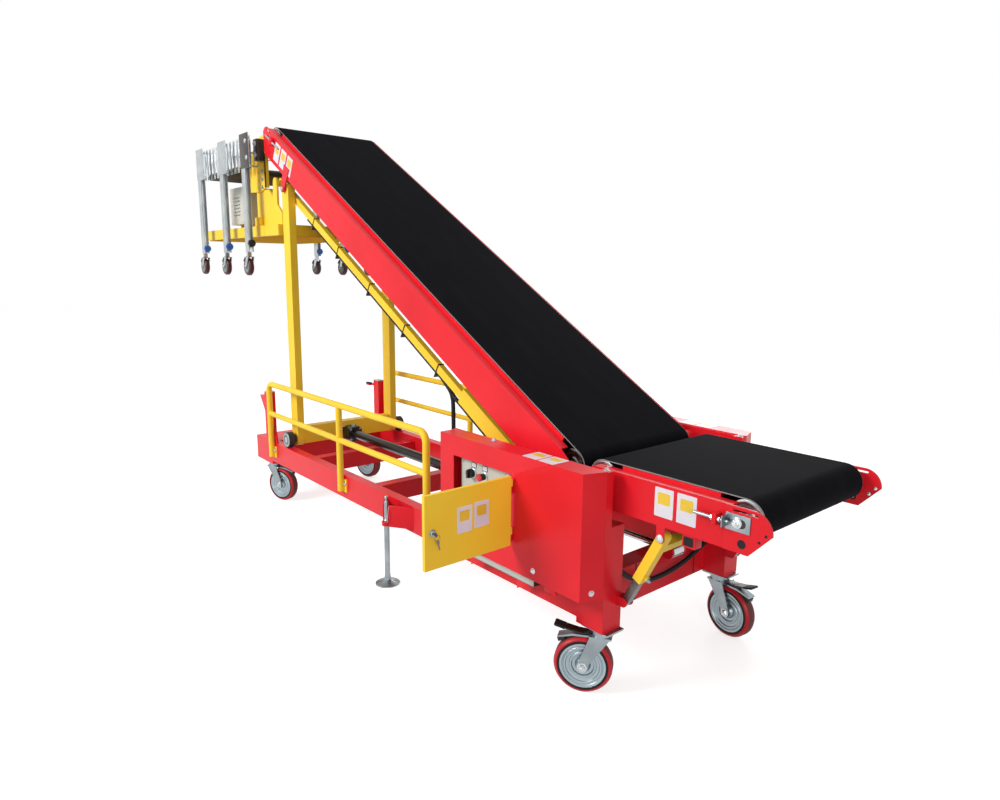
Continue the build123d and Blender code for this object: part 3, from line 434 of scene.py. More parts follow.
def bolt(place, material, radius, height=0.006):
    """The parts of a bolt: a washer, a hexagon head with its chamfer, and the end of the thread."""
    washer = turned(place, ((0, 0), (radius * 1.35, 0), (radius * 1.35, 0.0012), (radius * 1.25, 0.0018),
                            (0, 0.0018)), 24)
    head = turned(place, ((0, 0.0015), (radius, 0.0015), (radius, height * 0.82), (radius * 0.86, height),
                          (0, height)), 6)
    stub = turned(place, ((0, height * 0.9), (radius * 0.5, height * 0.9), (radius * 0.5, height * 1.3),
                          (radius * 0.4, height * 1.45), (0, height * 1.45)), 16)
    return [(shape, material) for shape in (washer, head, stub)]


def dome(place, radius, height):
    return turned(place, ((0, 0), (radius, 0), (radius, height * 0.35), (radius * 0.86, height * 0.78),
                          (radius * 0.5, height), (0, height)), 24)


def make_piece(name, body, parts):
    """One piece of one or more (shape, material) parts, riding on a body."""
    whole = bmesh.new()
    names = list(dict.fromkeys(material for shape, material in parts))
    for shape, material in parts:
        bmesh.ops.recalc_face_normals(shape, faces=shape.faces[:])
        for face in shape.faces:
            face.material_index = names.index(material)
            face.smooth = True
        mesh = bpy.data.meshes.new("part")
        shape.to_mesh(mesh)
        shape.free()
        whole.from_mesh(mesh)
        bpy.data.meshes.remove(mesh)
    mesh = bpy.data.meshes.new(name)
    whole.to_mesh(mesh)
    whole.free()
    mesh.set_sharp_from_angle(angle=math.radians(32))
    for material in names:
        mesh.materials.append(materials[material])
    piece = bpy.data.objects.new(name, mesh)
    bpy.context.scene.collection.objects.link(piece)
    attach(piece, body)
    return piece


def line_piece(name, body, material, points, radius, closed=False):
    """A smooth round line through space, as a NURBS curve."""
    curve = bpy.data.curves.new(name, "CURVE")
    curve.dimensions = "3D"
    curve.bevel_depth = radius
    curve.bevel_resolution = 4
    curve.resolution_u = 12
    spline = curve.splines.new("NURBS")
    spline.points.add(len(points) - 1)
    for slot, point in zip(spline.points, points):
        slot.co = (*point, 1)
    spline.order_u = 3
    spline.use_cyclic_u = closed
    spline.use_endpoint_u = not closed
    curve.use_fill_caps = not closed
    curve.materials.append(materials[material])
    piece = bpy.data.objects.new(name, curve)
    bpy.context.scene.collection.objects.link(piece)
    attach(piece, body)
    return piece


def on_slope(s, y, n, z0=tail_z):
    """A point of the boom's own frame: along it from the tail drum, across, and square to it."""
    x = tail_x + s * math.cos(tilt) + n * math.sin(tilt)
    z = z0 - s * math.sin(tilt) + n * math.cos(tilt)
    return (x, y, z)


slope_up = (math.sin(tilt), 0, math.cos(tilt))
slope_down = (math.cos(tilt), 0, -math.sin(tilt))
near_way = (0, -1, 0)
far_way = (0, 1, 0)
sides = (("near", -1, near_way), ("far", 1, far_way))


def sign_parts(place, width, height):
    """A blank sign: a white sheet with round corners and a plain yellow panel above its middle."""
    panel = place @ Matrix.Translation((0, height * 0.14, 0.0004))
    return [(prism(place, rounded(width, height, 0.003), 0.0008), "sign_white"),
            (prism(panel, rounded(width * 0.66, height * 0.40, 0.004), 0.0006), "sign_yellow")]


# Pieces on the chassis

def cabinet_signs():
    for name, side, _ in sides:
        parts = []
        for x in (-0.2755, -0.1985):
            parts += sign_parts(on_top(x, side * 0.436, cabinet_top), 0.070, 0.076)
        make_piece(f"cabinet_signs_{name}", "chassis", parts)


def chassis_bolts():
    """Bolts in the side and top of each cabinet, two more in the near one, and one at each guard post."""
    slant = (0.948, -0.320, 0)
    near = [facing((-0.2418, -cabinet_face, 0.4013), near_way), facing((-0.0135, -0.438, 0.393), slant),
            on_top(-0.5350, -0.410, cabinet_top), on_top(-0.0190, -0.381, 0.785)]
    far = [facing((-0.2418, cabinet_face, 0.4013), far_way), on_top(-0.0190, 0.381, 0.785)]
    for name, places in (("near", near), ("far", far)):
        parts = [part for place in places for part in bolt(place, "bright", 0.0075)]
        make_piece(f"cabinet_bolts_{name}", "chassis", parts)
    for name, side, way in sides:
        parts = []
        for x in guard_post_xs:
            parts += bolt(facing((x + 0.026, side * 0.400, 0.339), way), "bright", 0.0085)
        make_piece(f"guard_bolts_{name}", "chassis", parts)


def cabinet_trim():
    """The folded seam and the lower tab of the near cabinet, and the gussets that carry its tray."""
    seam = [(x, -cabinet_face, z) for x, z in ((-0.322, 0.7255), (-0.250, 0.7535), (-0.180, 0.7815))]
    line_piece("cabinet_seam", "chassis", "red", seam, 0.0016)
    make_piece("cabinet_tab", "chassis", [(block(-0.187, -0.135, -0.476, -0.468, 0.350, 0.368), "red")])
    gusset = [(0, -0.036), (0.066, 0), (0, 0)]
    parts = [(prism(facing((x, -0.438, 0.3225), near_way), gusset, 0.006, 0.0008), "red")
             for x in (-0.6250, -0.3600)]
    make_piece("tray_gussets", "chassis", parts)


def tray_channel():
    """The tray as an open channel, with a wall at one end and a dark plate at the other that fills the
    opening as painted shade of the channel's inside.
    """
    start, end, front, back, foot, top = -0.612, -0.272, -0.446, -0.394, 0.322, 0.3455
    wall, inset, edge = 0.003, 0.001, 0.0008
    boxes = ((start, end, front, back, foot, foot + wall), (start, end, front, front + wall, foot, top),
             (start, end, back - wall, back, foot, top), (start, start + wall, front, back, foot, top))
    parts = [(block(*box, edge), "pale_channel") for box in boxes]
    # Painted shade: a dark plate fills the open end, where the channel's inside would lie in shade.
    plate = block(end - inset, end - inset + wall, front + inset, back - inset, foot + inset, top - inset,
                  edge)
    tray = make_piece("tray_channel", "chassis", parts + [(plate, "dark_plate_and_painted_shade")])
    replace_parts(tray, "cabinet_tray")


def control_panel():
    """Blank label plates, the button's red cap, a collar under each switch and the box's screws."""
    parts = []
    for x in (-0.604, -0.539):
        place = facing((x, -box_face, 0.6865), near_way)
        parts.append((prism(place, rounded(0.030, 0.021, 0.002), 0.0010), "black_plastic"))
        parts.append((prism(lifted(place, 0.0008), rounded(0.025, 0.016, 0.001), 0.0008), "sign_white"))
    make_piece("panel_labels", "chassis", parts)
    cap = facing((button_x, -0.4685, switch_z), near_way)
    make_piece("button_cap", "chassis", [(dome(cap, 0.0145, 0.007), "red_plastic")])
    parts = [(nut(facing((x, -box_face, switch_z), near_way), 0.021, 0.003, 0.0185, 0.005, 36), "bright")
             for x in (knob_x, button_x)]
    for x in (-0.668, -0.412):
        for z in (0.512, 0.688):
            parts.append((dome(facing((x, -box_face, z), near_way), 0.0045, 0.002), "bright"))
    make_piece("panel_trim", "chassis", parts)


def hinge_leaves():
    """A fixed leaf and sleeve for each hinge, and the sleeve that turns with the door."""
    sleeve = ((0.0030, 0), (0.0062, 0), (0.0070, 0.001), (0.0070, 0.023), (0.0062, 0.024), (0.0030, 0.024))
    fixed = []
    moving = []
    for z in hinge_zs:
        leaf = facing((-0.3385, -cabinet_face, z - 0.013), near_way)
        fixed.append((prism(leaf, rectangle(0.021, 0.024), 0.0018, 0.0005), "red"))
        fixed.append((turned(on_top(hinge_x, hinge_y, z - 0.025), sleeve, 24), "red"))
        moving.append((turned(on_top(hinge_x, hinge_y, z), sleeve, 24), "yellow"))
    make_piece("hinge_leaves", "chassis", fixed)
    make_piece("hinge_sleeves", "cabinet_door", moving)


def stand_caps():
    for name, side, _ in sides:
        place = on_top(stand_x, side * stand_y, stand_top)
        parts = [(prism(place, rounded(0.063, 0.045, 0.004), 0.0045, 0.0012), "pale_channel")]
        parts += bolt(lifted(place, 0.0045), "bright", 0.006, 0.004)
        make_piece(f"stand_cap_{name}", "chassis", parts)


def jack_bracket(side):
    """Two cheeks that run from the rail to the collar, the plate under them and the collar."""
    foot, top, edge = 0.275, 0.372, 0.0008
    flat = Matrix.Translation((jack_x, 0, foot))
    parts = []
    for turn in (-1, 1):
        cheek = [(turn * 0.125, side * side_face), (turn * 0.117, side * side_face),
                 (turn * 0.0190, side * 0.4540), (turn * 0.0230, side * 0.4605)]
        parts.append((prism(flat, cheek, top - foot, edge), "red"))
    plate = [(-0.120, side * side_face), (0.120, side * side_face), (0.040, side * 0.4415),
             (-0.040, side * 0.4415)]
    parts.append((prism(flat, plate, 0.004, edge), "red"))
    collar = ((0.0128, 0), (0.0205, 0), (0.0215, 0.001), (0.0215, 0.017), (0.0205, 0.018), (0.0128, 0.018))
    seat = Matrix.Translation((jack_x, side * jack_y, foot + 0.001))
    return parts + [(turned(seat, collar, 32), "red")]


def jacks():
    """Each jack's open bracket, its spindle with the dished foot, and the lanyard of its pin."""
    spindle = ((0, 0), (0.055, 0), (0.055, 0.0045), (0.050, 0.0070), (0.030, 0.0120), (0.0170, 0.0220),
               (0.0140, 0.0320), (0.0122, 0.0500), (0.0122, 0.3000), (0.0095, 0.3040), (0.0095, 0.3820),
               (0.0070, 0.3860), (0.0050, 0.3900), (0.0050, 0.3960), (0.0080, 0.4000), (0.0080, 0.4080),
               (0.0050, 0.4120), (0, 0.4120))
    for name, side, _ in sides:
        bracket = make_piece(f"jack_bracket_{name}", "chassis", jack_bracket(side))
        if side < 0:
            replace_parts(bracket, "jack_brackets")
        shaft = turned(Matrix.Translation((jack_x, side * jack_y, 0)), spindle, 40)
        leg = make_piece(f"jack_spindle_{name}", f"jack_{name}", [(shaft, "zinc")])
        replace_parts(leg, f"jack_leg_{name}")
        wire = [(jack_x + 0.0205, side * 0.458, 0.2935), (jack_x + 0.026, side * 0.470, 0.302),
                (jack_x + 0.030, side * 0.468, 0.330), (jack_x + 0.024, side * 0.4600, 0.366)]
        line_piece(f"jack_wire_{name}", "chassis", "bright", wire, 0.0014)


def front_beam_trim():
    """The two dark upright joints of the front beam."""
    parts = []
    for y in (-0.1133, 0.2414):
        parts.append((block(-0.0955, -0.0945, y - 0.003, y + 0.003, 0.242, 0.378, 0.0003), "black_rubber"))
    make_piece("beam_joints", "chassis", parts)


def front_hose():
    """The hose that sags in front of the front beam, from one front leg to the other."""
    points = [(-0.060, -0.300, 0.452), (-0.060, -0.262, 0.418), (-0.058, -0.200, 0.362),
              (-0.056, -0.105, 0.322), (-0.056, 0.010, 0.318), (-0.058, 0.130, 0.334),
              (-0.060, 0.225, 0.366), (-0.060, 0.300, 0.392)]
    hose = line_piece("front_hose", "chassis", "black_rubber", points, hose_radius)
    collar = ((0, 0), (0.016, 0), (0.016, 0.004), (0.0125, 0.007), (0.0125, 0.013), (0, 0.013))
    ends = []
    for side, z in ((-1, 0.452), (1, 0.392)):
        ends.append((turned(facing((-0.060, side * 0.306, z), (0, -side, 0)), collar, 28), "zinc"))
    collars = make_piece("front_hose_collars", "chassis", ends)


# Pieces on the door

def door_pieces():
    """The door's signs, its lock with a key in it, the key ring and the spare key on the ring."""
    parts = []
    for y, z in ((-0.6915, 0.6047), (-0.6210, 0.6085)):
        parts += sign_parts(facing((door_face, y, z), (1, 0, 0)), 0.061, 0.089)
    make_piece("door_signs", "cabinet_door", parts)
    lock = facing((door_face, -0.819, 0.5875), (1, 0, 0))
    escutcheon = ((0, 0), (0.0125, 0), (0.0125, 0.002), (0.0105, 0.003), (0.0105, 0.0075), (0.008, 0.0095),
                  (0, 0.0095))
    blade = prism(lifted(lock, 0.0095), rectangle(0.0018, 0.0055), 0.006, 0.0004)
    edgewise = lock @ Matrix.Translation((-0.0009, 0, 0.0150)) @ Matrix.Rotation(math.radians(90), 4, "Y")
    bow = [(-0.0075 * math.cos(a) - 0.0062, 0.0070 * math.sin(a)) for a in turns(20)]
    parts = [(turned(lock, escutcheon, 28), "zinc"), (blade, "dark_steel_and_painted_shade"),
             (prism(edgewise, bow, 0.0018, 0.0004), "dark_steel_and_painted_shade")]
    make_piece("door_lock_face", "cabinet_door", parts)
    ring = [(door_face + 0.0235, -0.8160 + 0.0105 * math.cos(a), 0.5775 + 0.0105 * math.sin(a))
            for a in turns(10)]
    line_piece("key_ring", "cabinet_door", "dark_steel_and_painted_shade", ring, 0.0008, True)
    spare = facing((door_face + 0.0226, -0.8130, 0.5620), (1, 0, 0), (0, -0.25, 0.968))
    key = [(-0.0055, -0.003), (-0.0060, 0.003), (-0.003, 0.008), (0.003, 0.008), (0.0060, 0.003),
           (0.0055, -0.003), (0.0020, -0.007), (0.0020, -0.026), (0, -0.029), (-0.0020, -0.026),
           (-0.0020, -0.007)]
    make_piece("spare_key", "cabinet_door", [(prism(spare, key[::-1], 0.0016, 0.0003, 1), "dark_steel_and_painted_shade")])


# Pieces on the lift, mast and boom

def cylinder_head():
    """The square end block of the lift cylinder, with its four tie nuts and its port."""
    start, length, width, bore_radius, tie = -2.3885, 0.070, 0.086, 0.033, 0.031
    outer = rounded(width, width, 0.020, 9)
    angles = [math.atan2(y, x) for x, y in outer]
    inner = [(bore_radius * math.cos(a), bore_radius * math.sin(a)) for a in angles]
    place = facing((start, 0, foot_axle_z), (1, 0, 0))
    parts = [(ring_prism(place, outer, inner, length), "black_paint")]
    for y in (-tie, tie):
        for z in (-tie, tie):
            corner = facing((start + length, y, foot_axle_z + z), (1, 0, 0))
            parts.append((nut(corner, 0.0075, 0.005, 0.006, 0.0065), "zinc"))
    parts.append((nut(on_top(-2.352, 0, 0.4675), 0.013, 0.010, 0.009, 0.012), "zinc"))
    make_piece("cylinder_head", "lift_cylinder", parts)


def roller_caps():
    """The axle cap and the rim ring on each foot roller."""
    ring = ((0.026, 0), (0.026, 0.0012), (0.0415, 0.0012), (0.0425, 0))
    parts = []
    for _, side, way in sides:
        place = facing((foot_axle_x, side * 0.3852, foot_axle_z), way)
        parts += [(nut(place, 0.019, 0.0022, 0.016, 0.0034, 36), "bright"), (turned(place, ring), "rim")]
    make_piece("foot_roller_caps", "foot_rollers", parts)


def boom_pieces():
    """The boom's signs, the cap on each ear's pin, and the block and nuts of each head tensioner."""
    parts = []
    for s in (-2.583, -2.499, -2.415):
        parts += sign_parts(facing(on_slope(s, -plate_face, -0.031), near_way, slope_up), 0.068, 0.098)
    make_piece("boom_signs", "boom", parts)
    s = -boom_length + 0.055
    for name, side, way in sides:
        parts = [(dome(facing((ear_x, side * 0.3455, ear_z), way), 0.0125, 0.0060), "bright")]
        body = facing(on_slope(s, side * plate_face, 0), way, slope_up)
        parts.append((prism(body, rectangle(0.034, 0.036), 0.0175, 0.0015), "red"))
        for step in (-0.022, 0.018):
            place = facing(on_slope(s + step, side * (plate_face + 0.008), 0), slope_down, slope_up)
            parts.append((nut(place, 0.0085, 0.006, 0.007, 0.007), "bright"))
        make_piece(f"boom_fittings_{name}", "boom", parts)


def belt_band(length, centre, angle):
    """The pale cut edges of a belt, as thin bands that follow its loop on both sides."""
    inner = belt_radius - 0.0032
    outer = belt_radius - 0.0002
    proud = belt_edge + 0.0012
    section = ((inner, belt_edge), (outer, belt_edge), (outer, proud), (inner, proud))
    steps = 20
    path = [(x, math.radians(start + 180 * k / steps)) for x, start in ((0, -90), (-length, 90))
            for k in range(steps + 1)]
    turn = Matrix.Translation(centre) @ Matrix.Rotation(angle, 4, "Y")
    parts = []
    for side in (-1, 1):
        shape = bmesh.new()
        rows = [[shape.verts.new(turn @ Vector((x + r * math.cos(a), side * y, r * math.sin(a))))
                 for r, y in section] for x, a in path]
        for first, second in zip(rows, rows[1:] + rows[:1]):
            bridge(shape, first, second)
        parts.append((shape, "belt_edge"))
    return parts


def drum_faces(places, material="bright"):
    """The turned ends of the drums, with their rims, webs and bearing hubs."""
    profile = ((0.0152, 0), (0.0152, 0.0045), (0.0260, 0.0045), (0.0300, 0.0010), (0.0400, 0.0010),
               (0.0440, 0.0035), (0.0500, 0.0045), (0.0552, 0.0030), (0.0552, 0))
    return [(turned(facing((x, side * 0.2958, z), way), profile, 48), material)
            for x, z in places for _, side, way in sides]


def belts_and_drums():
    make_piece("boom_belt_edges", "boom", belt_band(boom_length, (tail_x, 0, tail_z), tilt))
    # The tail drum's ends take dark steel as painted shade. The head drum's ends keep the bright finish.
    ends = drum_faces(((head_x, head_z),)) + drum_faces(((tail_x, tail_z),), "dark_steel_and_painted_shade")
    make_piece("boom_drum_ends", "boom", ends)
    front = infeed_x + infeed_length
    make_piece("infeed_belt_edges", "loading_belt", belt_band(infeed_length, (front, 0, infeed_z), 0))
    make_piece("infeed_drum_ends", "loading_belt", drum_faces(((infeed_x, infeed_z), (front, infeed_z))))


def link_ties():
    """The ties that hold the hose under the near link."""
    width = 0.029
    parts = []
    for s in (-2.25, -1.95, -1.60, -1.25, -0.95):
        middle = facing(on_slope(s, link_hose_y, -0.0135, tail_z - link_drop), near_way, slope_up)
        tie = prism(lifted(middle, -width / 2), rounded(0.006, 0.068, 0.002), width)
        parts.append((tie, "black_plastic"))
    make_piece("link_ties", "levelling_links", parts)


def hose_drop():
    """The end of the link's hose, which turns down behind the cabinet."""
    x, y, z = on_slope(-0.900, link_hose_y, -0.0300, tail_z - link_drop)
    points = [(x, y, z), (x + 0.040, y - 0.002, z - 0.0235), (x + 0.072, y - 0.004, z - 0.062),
              (x + 0.078, y - 0.006, z - 0.125), (x + 0.079, y - 0.006, z - 0.200)]
    hose = line_piece("hose_drop", "levelling_links", "black_rubber", points, hose_radius)
    profile = ((0, 0), (0.0115, 0), (0.0115, 0.016), (0.009, 0.018), (0.009, 0.026), (0, 0.026))
    end = facing((x + 0.079, y - 0.006, z - 0.196), (0, 0, -1), (0, 1, 0))
    fitting = make_piece("hose_fitting", "levelling_links", [(turned(end, profile, 6), "bright")])


# Pieces on the head platform

def head_trim():
    """The flange, clamp, bearing housing and bolts of each head bracket."""
    x, z = head_x, head_z
    for name, side, way in sides:
        flange = side_block(side, x - 0.1215, x - 0.1150, 0.300, 0.326, z - 0.256, z - 0.070, 0.001)
        clamp = side_block(side, x - 0.250, x - 0.185, 0.318, 0.342, platform_top, platform_top + 0.050,
                           0.003)
        housing = side_block(side, x - 0.156, x - 0.100, 0.3270, 0.3700, z - 0.112, z + 0.006, 0.004)
        parts = [(flange, "yellow"), (clamp, "yellow"), (housing, "dark_plate_and_painted_shade")]
        for drop in (0.020, 0.080):
            parts += bolt(facing((x - 0.128, side * 0.370, z - drop), way), "bright", 0.012, 0.008)
        for k in range(3):
            height = z - 0.278 + 0.026 + 0.043 * k
            parts += bolt(facing((x - 0.147, side * 0.326, height), way), "zinc", 0.0085)
        make_piece(f"bracket_trim_{name}", "head_platform", parts)


def beam_seams():
    """The weld seams on the outer faces of the platform's side beams."""
    parts = []
    for _, side, way in sides:
        for x in (-3.588, -3.191, -2.705):
            place = facing((x, side * 0.345, platform_top - 0.030), way)
            parts.append((prism(place, rounded(0.005, 0.058, 0.002), 0.0012), "yellow"))
    make_piece("beam_seams", "head_platform", parts)


def box_louvres():
    """The hooded lips over the box's slots and the screws of its cover."""
    lip = [(0, 0), (-0.007, -0.006), (-0.007, -0.0078), (0, -0.0022)]
    lengthwise = Matrix(((0, 0, -1, 0), (1, 0, 0, 0), (0, 1, 0, 0), (0, 0, 0, 1)))
    parts = []
    for k in range(6):
        place = Matrix.Translation((box_right - 0.070, -box_near, box_foot + 0.0690 + 0.022 * k))
        parts.append((prism(place @ lengthwise, lip, 0.100), "grey"))
    for z in (box_foot + 0.012, box_foot + 0.228):
        for x in (box_right - 0.228, box_right - 0.012):
            parts.append((dome(facing((x, -box_near, z), near_way), 0.005, 0.0025), "bright"))
    make_piece("box_louvres", "head_platform", parts)


def strip_rivets(name, side, way):
    parts = []
    for k in range(track_bars):
        x = track_first - k * track_pitch
        for z in (track_top - 0.013, track_top - 0.177):
            place = facing((x, side * track_face, z), way)
            parts.append((nut(place, 0.0050, 0.0010, 0.0032, 0.0022, 14), "zinc"))
    make_piece(f"strip_rivets_{name}", "head_platform", parts)


def leg_cover(name, side, way):
    """The dark cover of the first leg with its two bearings."""
    x, z = leg_xs[0] + 0.036, track_top - 0.095
    cover = prism(facing((x, side * 0.4190, z), way), rounded(0.126, 0.188, 0.006), 0.0022, 0.0006)
    parts = [(cover, "dark_plate_and_painted_shade")]
    for dx, dz in ((0.030, 0.050), (0.040, -0.040)):
        spot = facing((x + dx, side * 0.4212, z + dz), way)
        parts.append((nut(spot, 0.013, 0.004, 0.009, 0.006, 24), "bright"))
    make_piece(f"leg_cover_{name}", "head_platform", parts)


def leg_knobs(name, side):
    """The lobed hand knob on each leg, black on the first and blue on the others."""
    grip = []
    for a in turns(48):
        radius = 0.0205 + 0.0022 * math.cos(8 * a)
        grip.append((radius * math.cos(a), radius * math.sin(a)))
    stem = ((0, 0), (0.006, 0), (0.006, 0.030), (0, 0.030))
    knobs = zip(leg_xs, (1.539, 1.526, 1.521), ("black_plastic", "blue_plastic", "blue_plastic"))
    for number, (x, z, colour) in enumerate(knobs, 1):
        knob_place = facing((x + 0.0285, side * leg_y, z), (1, 0, 0))
        stem_place = facing((x, side * leg_y, z), (1, 0, 0))
        parts = [(prism(knob_place, grip, 0.017, 0.0025), colour), (turned(stem_place, stem, 16), "zinc")]
        make_piece(f"leg_knob_{name}_{number}", "head_platform", parts)


def track_details():
    for name, side, way in sides:
        strip_rivets(name, side, way)
        leg_cover(name, side, way)
        leg_knobs(name, side)


def small_caster_details():
    """Grey centres with their hubs for the track's wheels, and a brake shoe over each."""
    face = ((0.0051, 0), (0.0051, 0.0016), (0.0130, 0.0016), (0.0150, 0.0006), (0.0270, 0.0006),
            (0.0290, 0.0016), (0.0340, 0.0014), (0.0350, 0))
    shoe = [(-0.052, -0.016), (-0.030, 0.002), (0.010, 0.010), (0.010, 0.004), (-0.026, -0.006),
            (-0.048, -0.026)]
    shoe_z = small_wheel_z + 0.0552 - 0.001
    upright = Matrix.Rotation(math.radians(90), 4, "X")
    for name, side, _ in sides:
        y = side * leg_y
        for number, leg_x in enumerate(leg_xs, 1):
            x = leg_x - small_wheel_trail
            parts = [(turned(facing((x, y + turn * 0.0139, small_wheel_z), (0, turn, 0)), face, 28),
                      "small_rim") for turn in (-1, 1)]
            make_piece(f"small_rim_{name}_{number}", f"small_wheel_{name}_{number}", parts)
            place = Matrix.Translation((x, y - 0.012, shoe_z)) @ upright
            parts = [(prism(lifted(place, -0.024), shoe, 0.024, 0.001), "black_plastic")]
            for turn in (-1, 1):
                spot = facing((x, y + turn * 0.0200, small_wheel_z), (0, turn, 0))
                parts.append((nut(spot, 0.0085, 0.004, 0.007, 0.005), "zinc"))
            make_piece(f"small_brake_{name}_{number}", "head_platform", parts)


# Pieces on the loading belt and its brace

def infeed_pieces():
    """Signs, and each plate's shaft slot and bolt, tensioner block and nuts, holes and bracket. The slot,
    the holes and the bracket's mouth are thin dark sheets of painted shade.
    """
    parts = []
    for x in (0.1725, 0.2525):
        parts += sign_parts(facing((x, -plate_face, 0.7205), near_way), 0.067, 0.090)
    make_piece("infeed_signs", "loading_belt", parts)
    shaft = infeed_x + infeed_length
    for name, side, way in sides:
        slot = facing((shaft + 0.006, side * 0.345, infeed_z), way)
        # The slot is a thin dark sheet on the plate: painted shade for the open slot.
        parts = [(prism(slot, rounded(0.042, 0.026, 0.0125), 0.0005), "dark_plate_and_painted_shade")]
        parts += bolt(facing((shaft, side * 0.345, infeed_z), way), "bright", 0.0115, 0.011)
        body = side_block(side, 0.3520, 0.3660, infeed_face, 0.3675, infeed_z - 0.0165, infeed_z + 0.0165)
        parts.append((body, "red"))
        for x in (0.3445, 0.3665):
            place = facing((x, side * 0.355, infeed_z), (1, 0, 0))
            parts.append((nut(place, 0.0085, 0.006, 0.007, 0.0072), "bright"))
        for x, z, radius in plate_holes:
            hole = facing((x, side * infeed_face, z), way)
            # Each hole is a thin black disc: painted shade for the open hole.
            disc = ((0, 0), (radius, 0), (radius, 0.0004), (0, 0.0004))
            parts.append((turned(hole, disc, 28), "black_rubber"))
        parts += bolt(facing((brace_head_x, side * plate_face, brace_head_z), way), "bright", 0.0095)
        parts.append((side_block(side, 0.238, 0.282, 0.296, 0.332, 0.604, 0.646, 0.002), "red"))
        mouth = facing((0.260, side * 0.332, 0.624), way)
        # The bracket's mouth is a thin black sheet: painted shade for its opening.
        parts.append((prism(mouth, rounded(0.034, 0.028, 0.003), 0.0006), "black_rubber"))
        make_piece(f"infeed_fittings_{name}", "loading_belt", parts)
    parts = [(dome(facing((x, 0.335, z), near_way), 0.006, 0.003), "bright") for x, z, _ in plate_holes]
    make_piece("far_plate_bolts", "loading_belt", parts)


def brace_pieces():
    """The clamp screw on a boss of each outer tube of the brace."""
    along = Vector((brace_foot_x - brace_head_x, 0, brace_foot_z - brace_head_z)).normalized()
    out = Vector((-along.z, 0, along.x))
    for name, side, _ in sides:
        point = Vector((brace_head_x, side * 0.317, brace_head_z)) + along * 0.165 + out * 0.0158
        place = facing(point, out, -along)
        parts = [(nut(place, 0.0100, 0.008, 0.008, 0.010, 20), "yellow")]
        parts += bolt(lifted(place, 0.009), "zinc", 0.0068, 0.008)
        make_piece(f"brace_clamp_{name}", "brace_outer", parts)


# Pieces on the chassis casters

def wheel_face(name, wheel):
    """The moulded centre and its dark ring on both faces of a wheel."""
    centre = ((0.0860, 0.0240), (0.0860, 0.0252), (0.0790, 0.0256), (0.0745, 0.0232), (0.0665, 0.0218),
              (0.0645, 0.0240), (0.0590, 0.0243), (0.0565, 0.0205), (0.0470, 0.0180), (0.0450, 0.0202),
              (0.0390, 0.0204), (0.0365, 0.0150), (0.0270, 0.0140), (0.0235, 0.0225), (0.0185, 0.0283),
              (0.0085, 0.0285), (0.0085, 0.0095), (0.0700, 0.0095))
    ring = ((0.0785, 0.0245), (0.0785, 0.0262), (0.0862, 0.0262), (0.0874, 0.0245))
    parts = []
    for way in (-1, 1):
        face = wheel @ Matrix.Rotation(math.radians(-90 * way), 4, "X")
        parts += [(turned(face, centre, 56), "rim"), (turned(face, ring, 56), "black_rubber")]
    make_piece(f"wheel_face_{name}", f"wheel_{name}", parts)


def tyre(name, wheel):
    """Two bright red side walls and the plain darker band between them."""
    tread = ((0.0920, -0.0165), (0.0980, -0.0165), (0.1000, -0.0130), (0.1000, 0.0130), (0.0980, 0.0165),
             (0.0920, 0.0165))
    wall = ((0.0846, 0.0100), (0.0846, 0.0235), (0.0868, 0.0250), (0.0905, 0.0250), (0.0955, 0.0215),
            (0.0984, 0.0158), (0.0930, 0.0130))
    across = wheel @ Matrix.Rotation(math.radians(90), 4, "X")
    parts = [(turned(across, wall, 72), "tyre"), (turned(across, [(r, -h) for r, h in wall], 72), "tyre"),
             (turned(across, tread, 72), "tread")]
    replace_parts(make_piece(f"tyre_{name}", f"wheel_{name}", parts), f"caster_tyre_{name}")


def caster_fittings(name, swivel, wheel):
    """The brake pedal with its rubber and shoe, and the axle's bolt heads."""
    lever = ((0.034, -0.0190), (0.080, -0.0170), (0.120, -0.0080), (0.156, 0.0020), (0.160, 0.0005),
             (0.159, -0.0025), (0.122, -0.0125), (0.081, -0.0212), (0.034, -0.0230))
    rubber = ((0.122, -0.0070), (0.155, 0.0025), (0.161, 0.0010), (0.160, -0.0045), (0.124, -0.0145))
    shoe = [(0.122, 0.1785), (0.146, 0.1690), (0.151, 0.1850), (0.126, 0.1935)]
    lever, rubber = ([(x, fork_top + rise) for x, rise in outline] for outline in (lever, rubber))
    upright = swivel @ Matrix.Rotation(math.radians(90), 4, "X")
    parts = [(prism(lifted(upright, -0.0185), lever, 0.037, 0.0008), "black_paint"),
             (prism(lifted(upright, -0.0200), rubber, 0.040, 0.0015), "black_rubber"),
             (prism(lifted(upright, -0.0120), shoe, 0.024, 0.002), "black_plastic")]
    for way in (-1, 1):
        place = wheel @ Matrix.Rotation(math.radians(-90 * way), 4, "X")
        parts += bolt(lifted(place, 0.0365), "bright", 0.0125, 0.0095)
    make_piece(f"caster_fittings_{name}", f"caster_{name}", parts)


def caster_pieces():
    for name, x, side, heading in casters:
        swivel = Matrix.Translation((x, side * caster_y, 0)) @ Matrix.Rotation(math.radians(heading), 4, "Z")
        wheel = swivel @ Matrix.Translation((caster_trail, 0, axle_z))
        wheel_face(name, wheel)
        tyre(name, wheel)
        caster_fittings(name, swivel, wheel)


# Stage, lights and camera

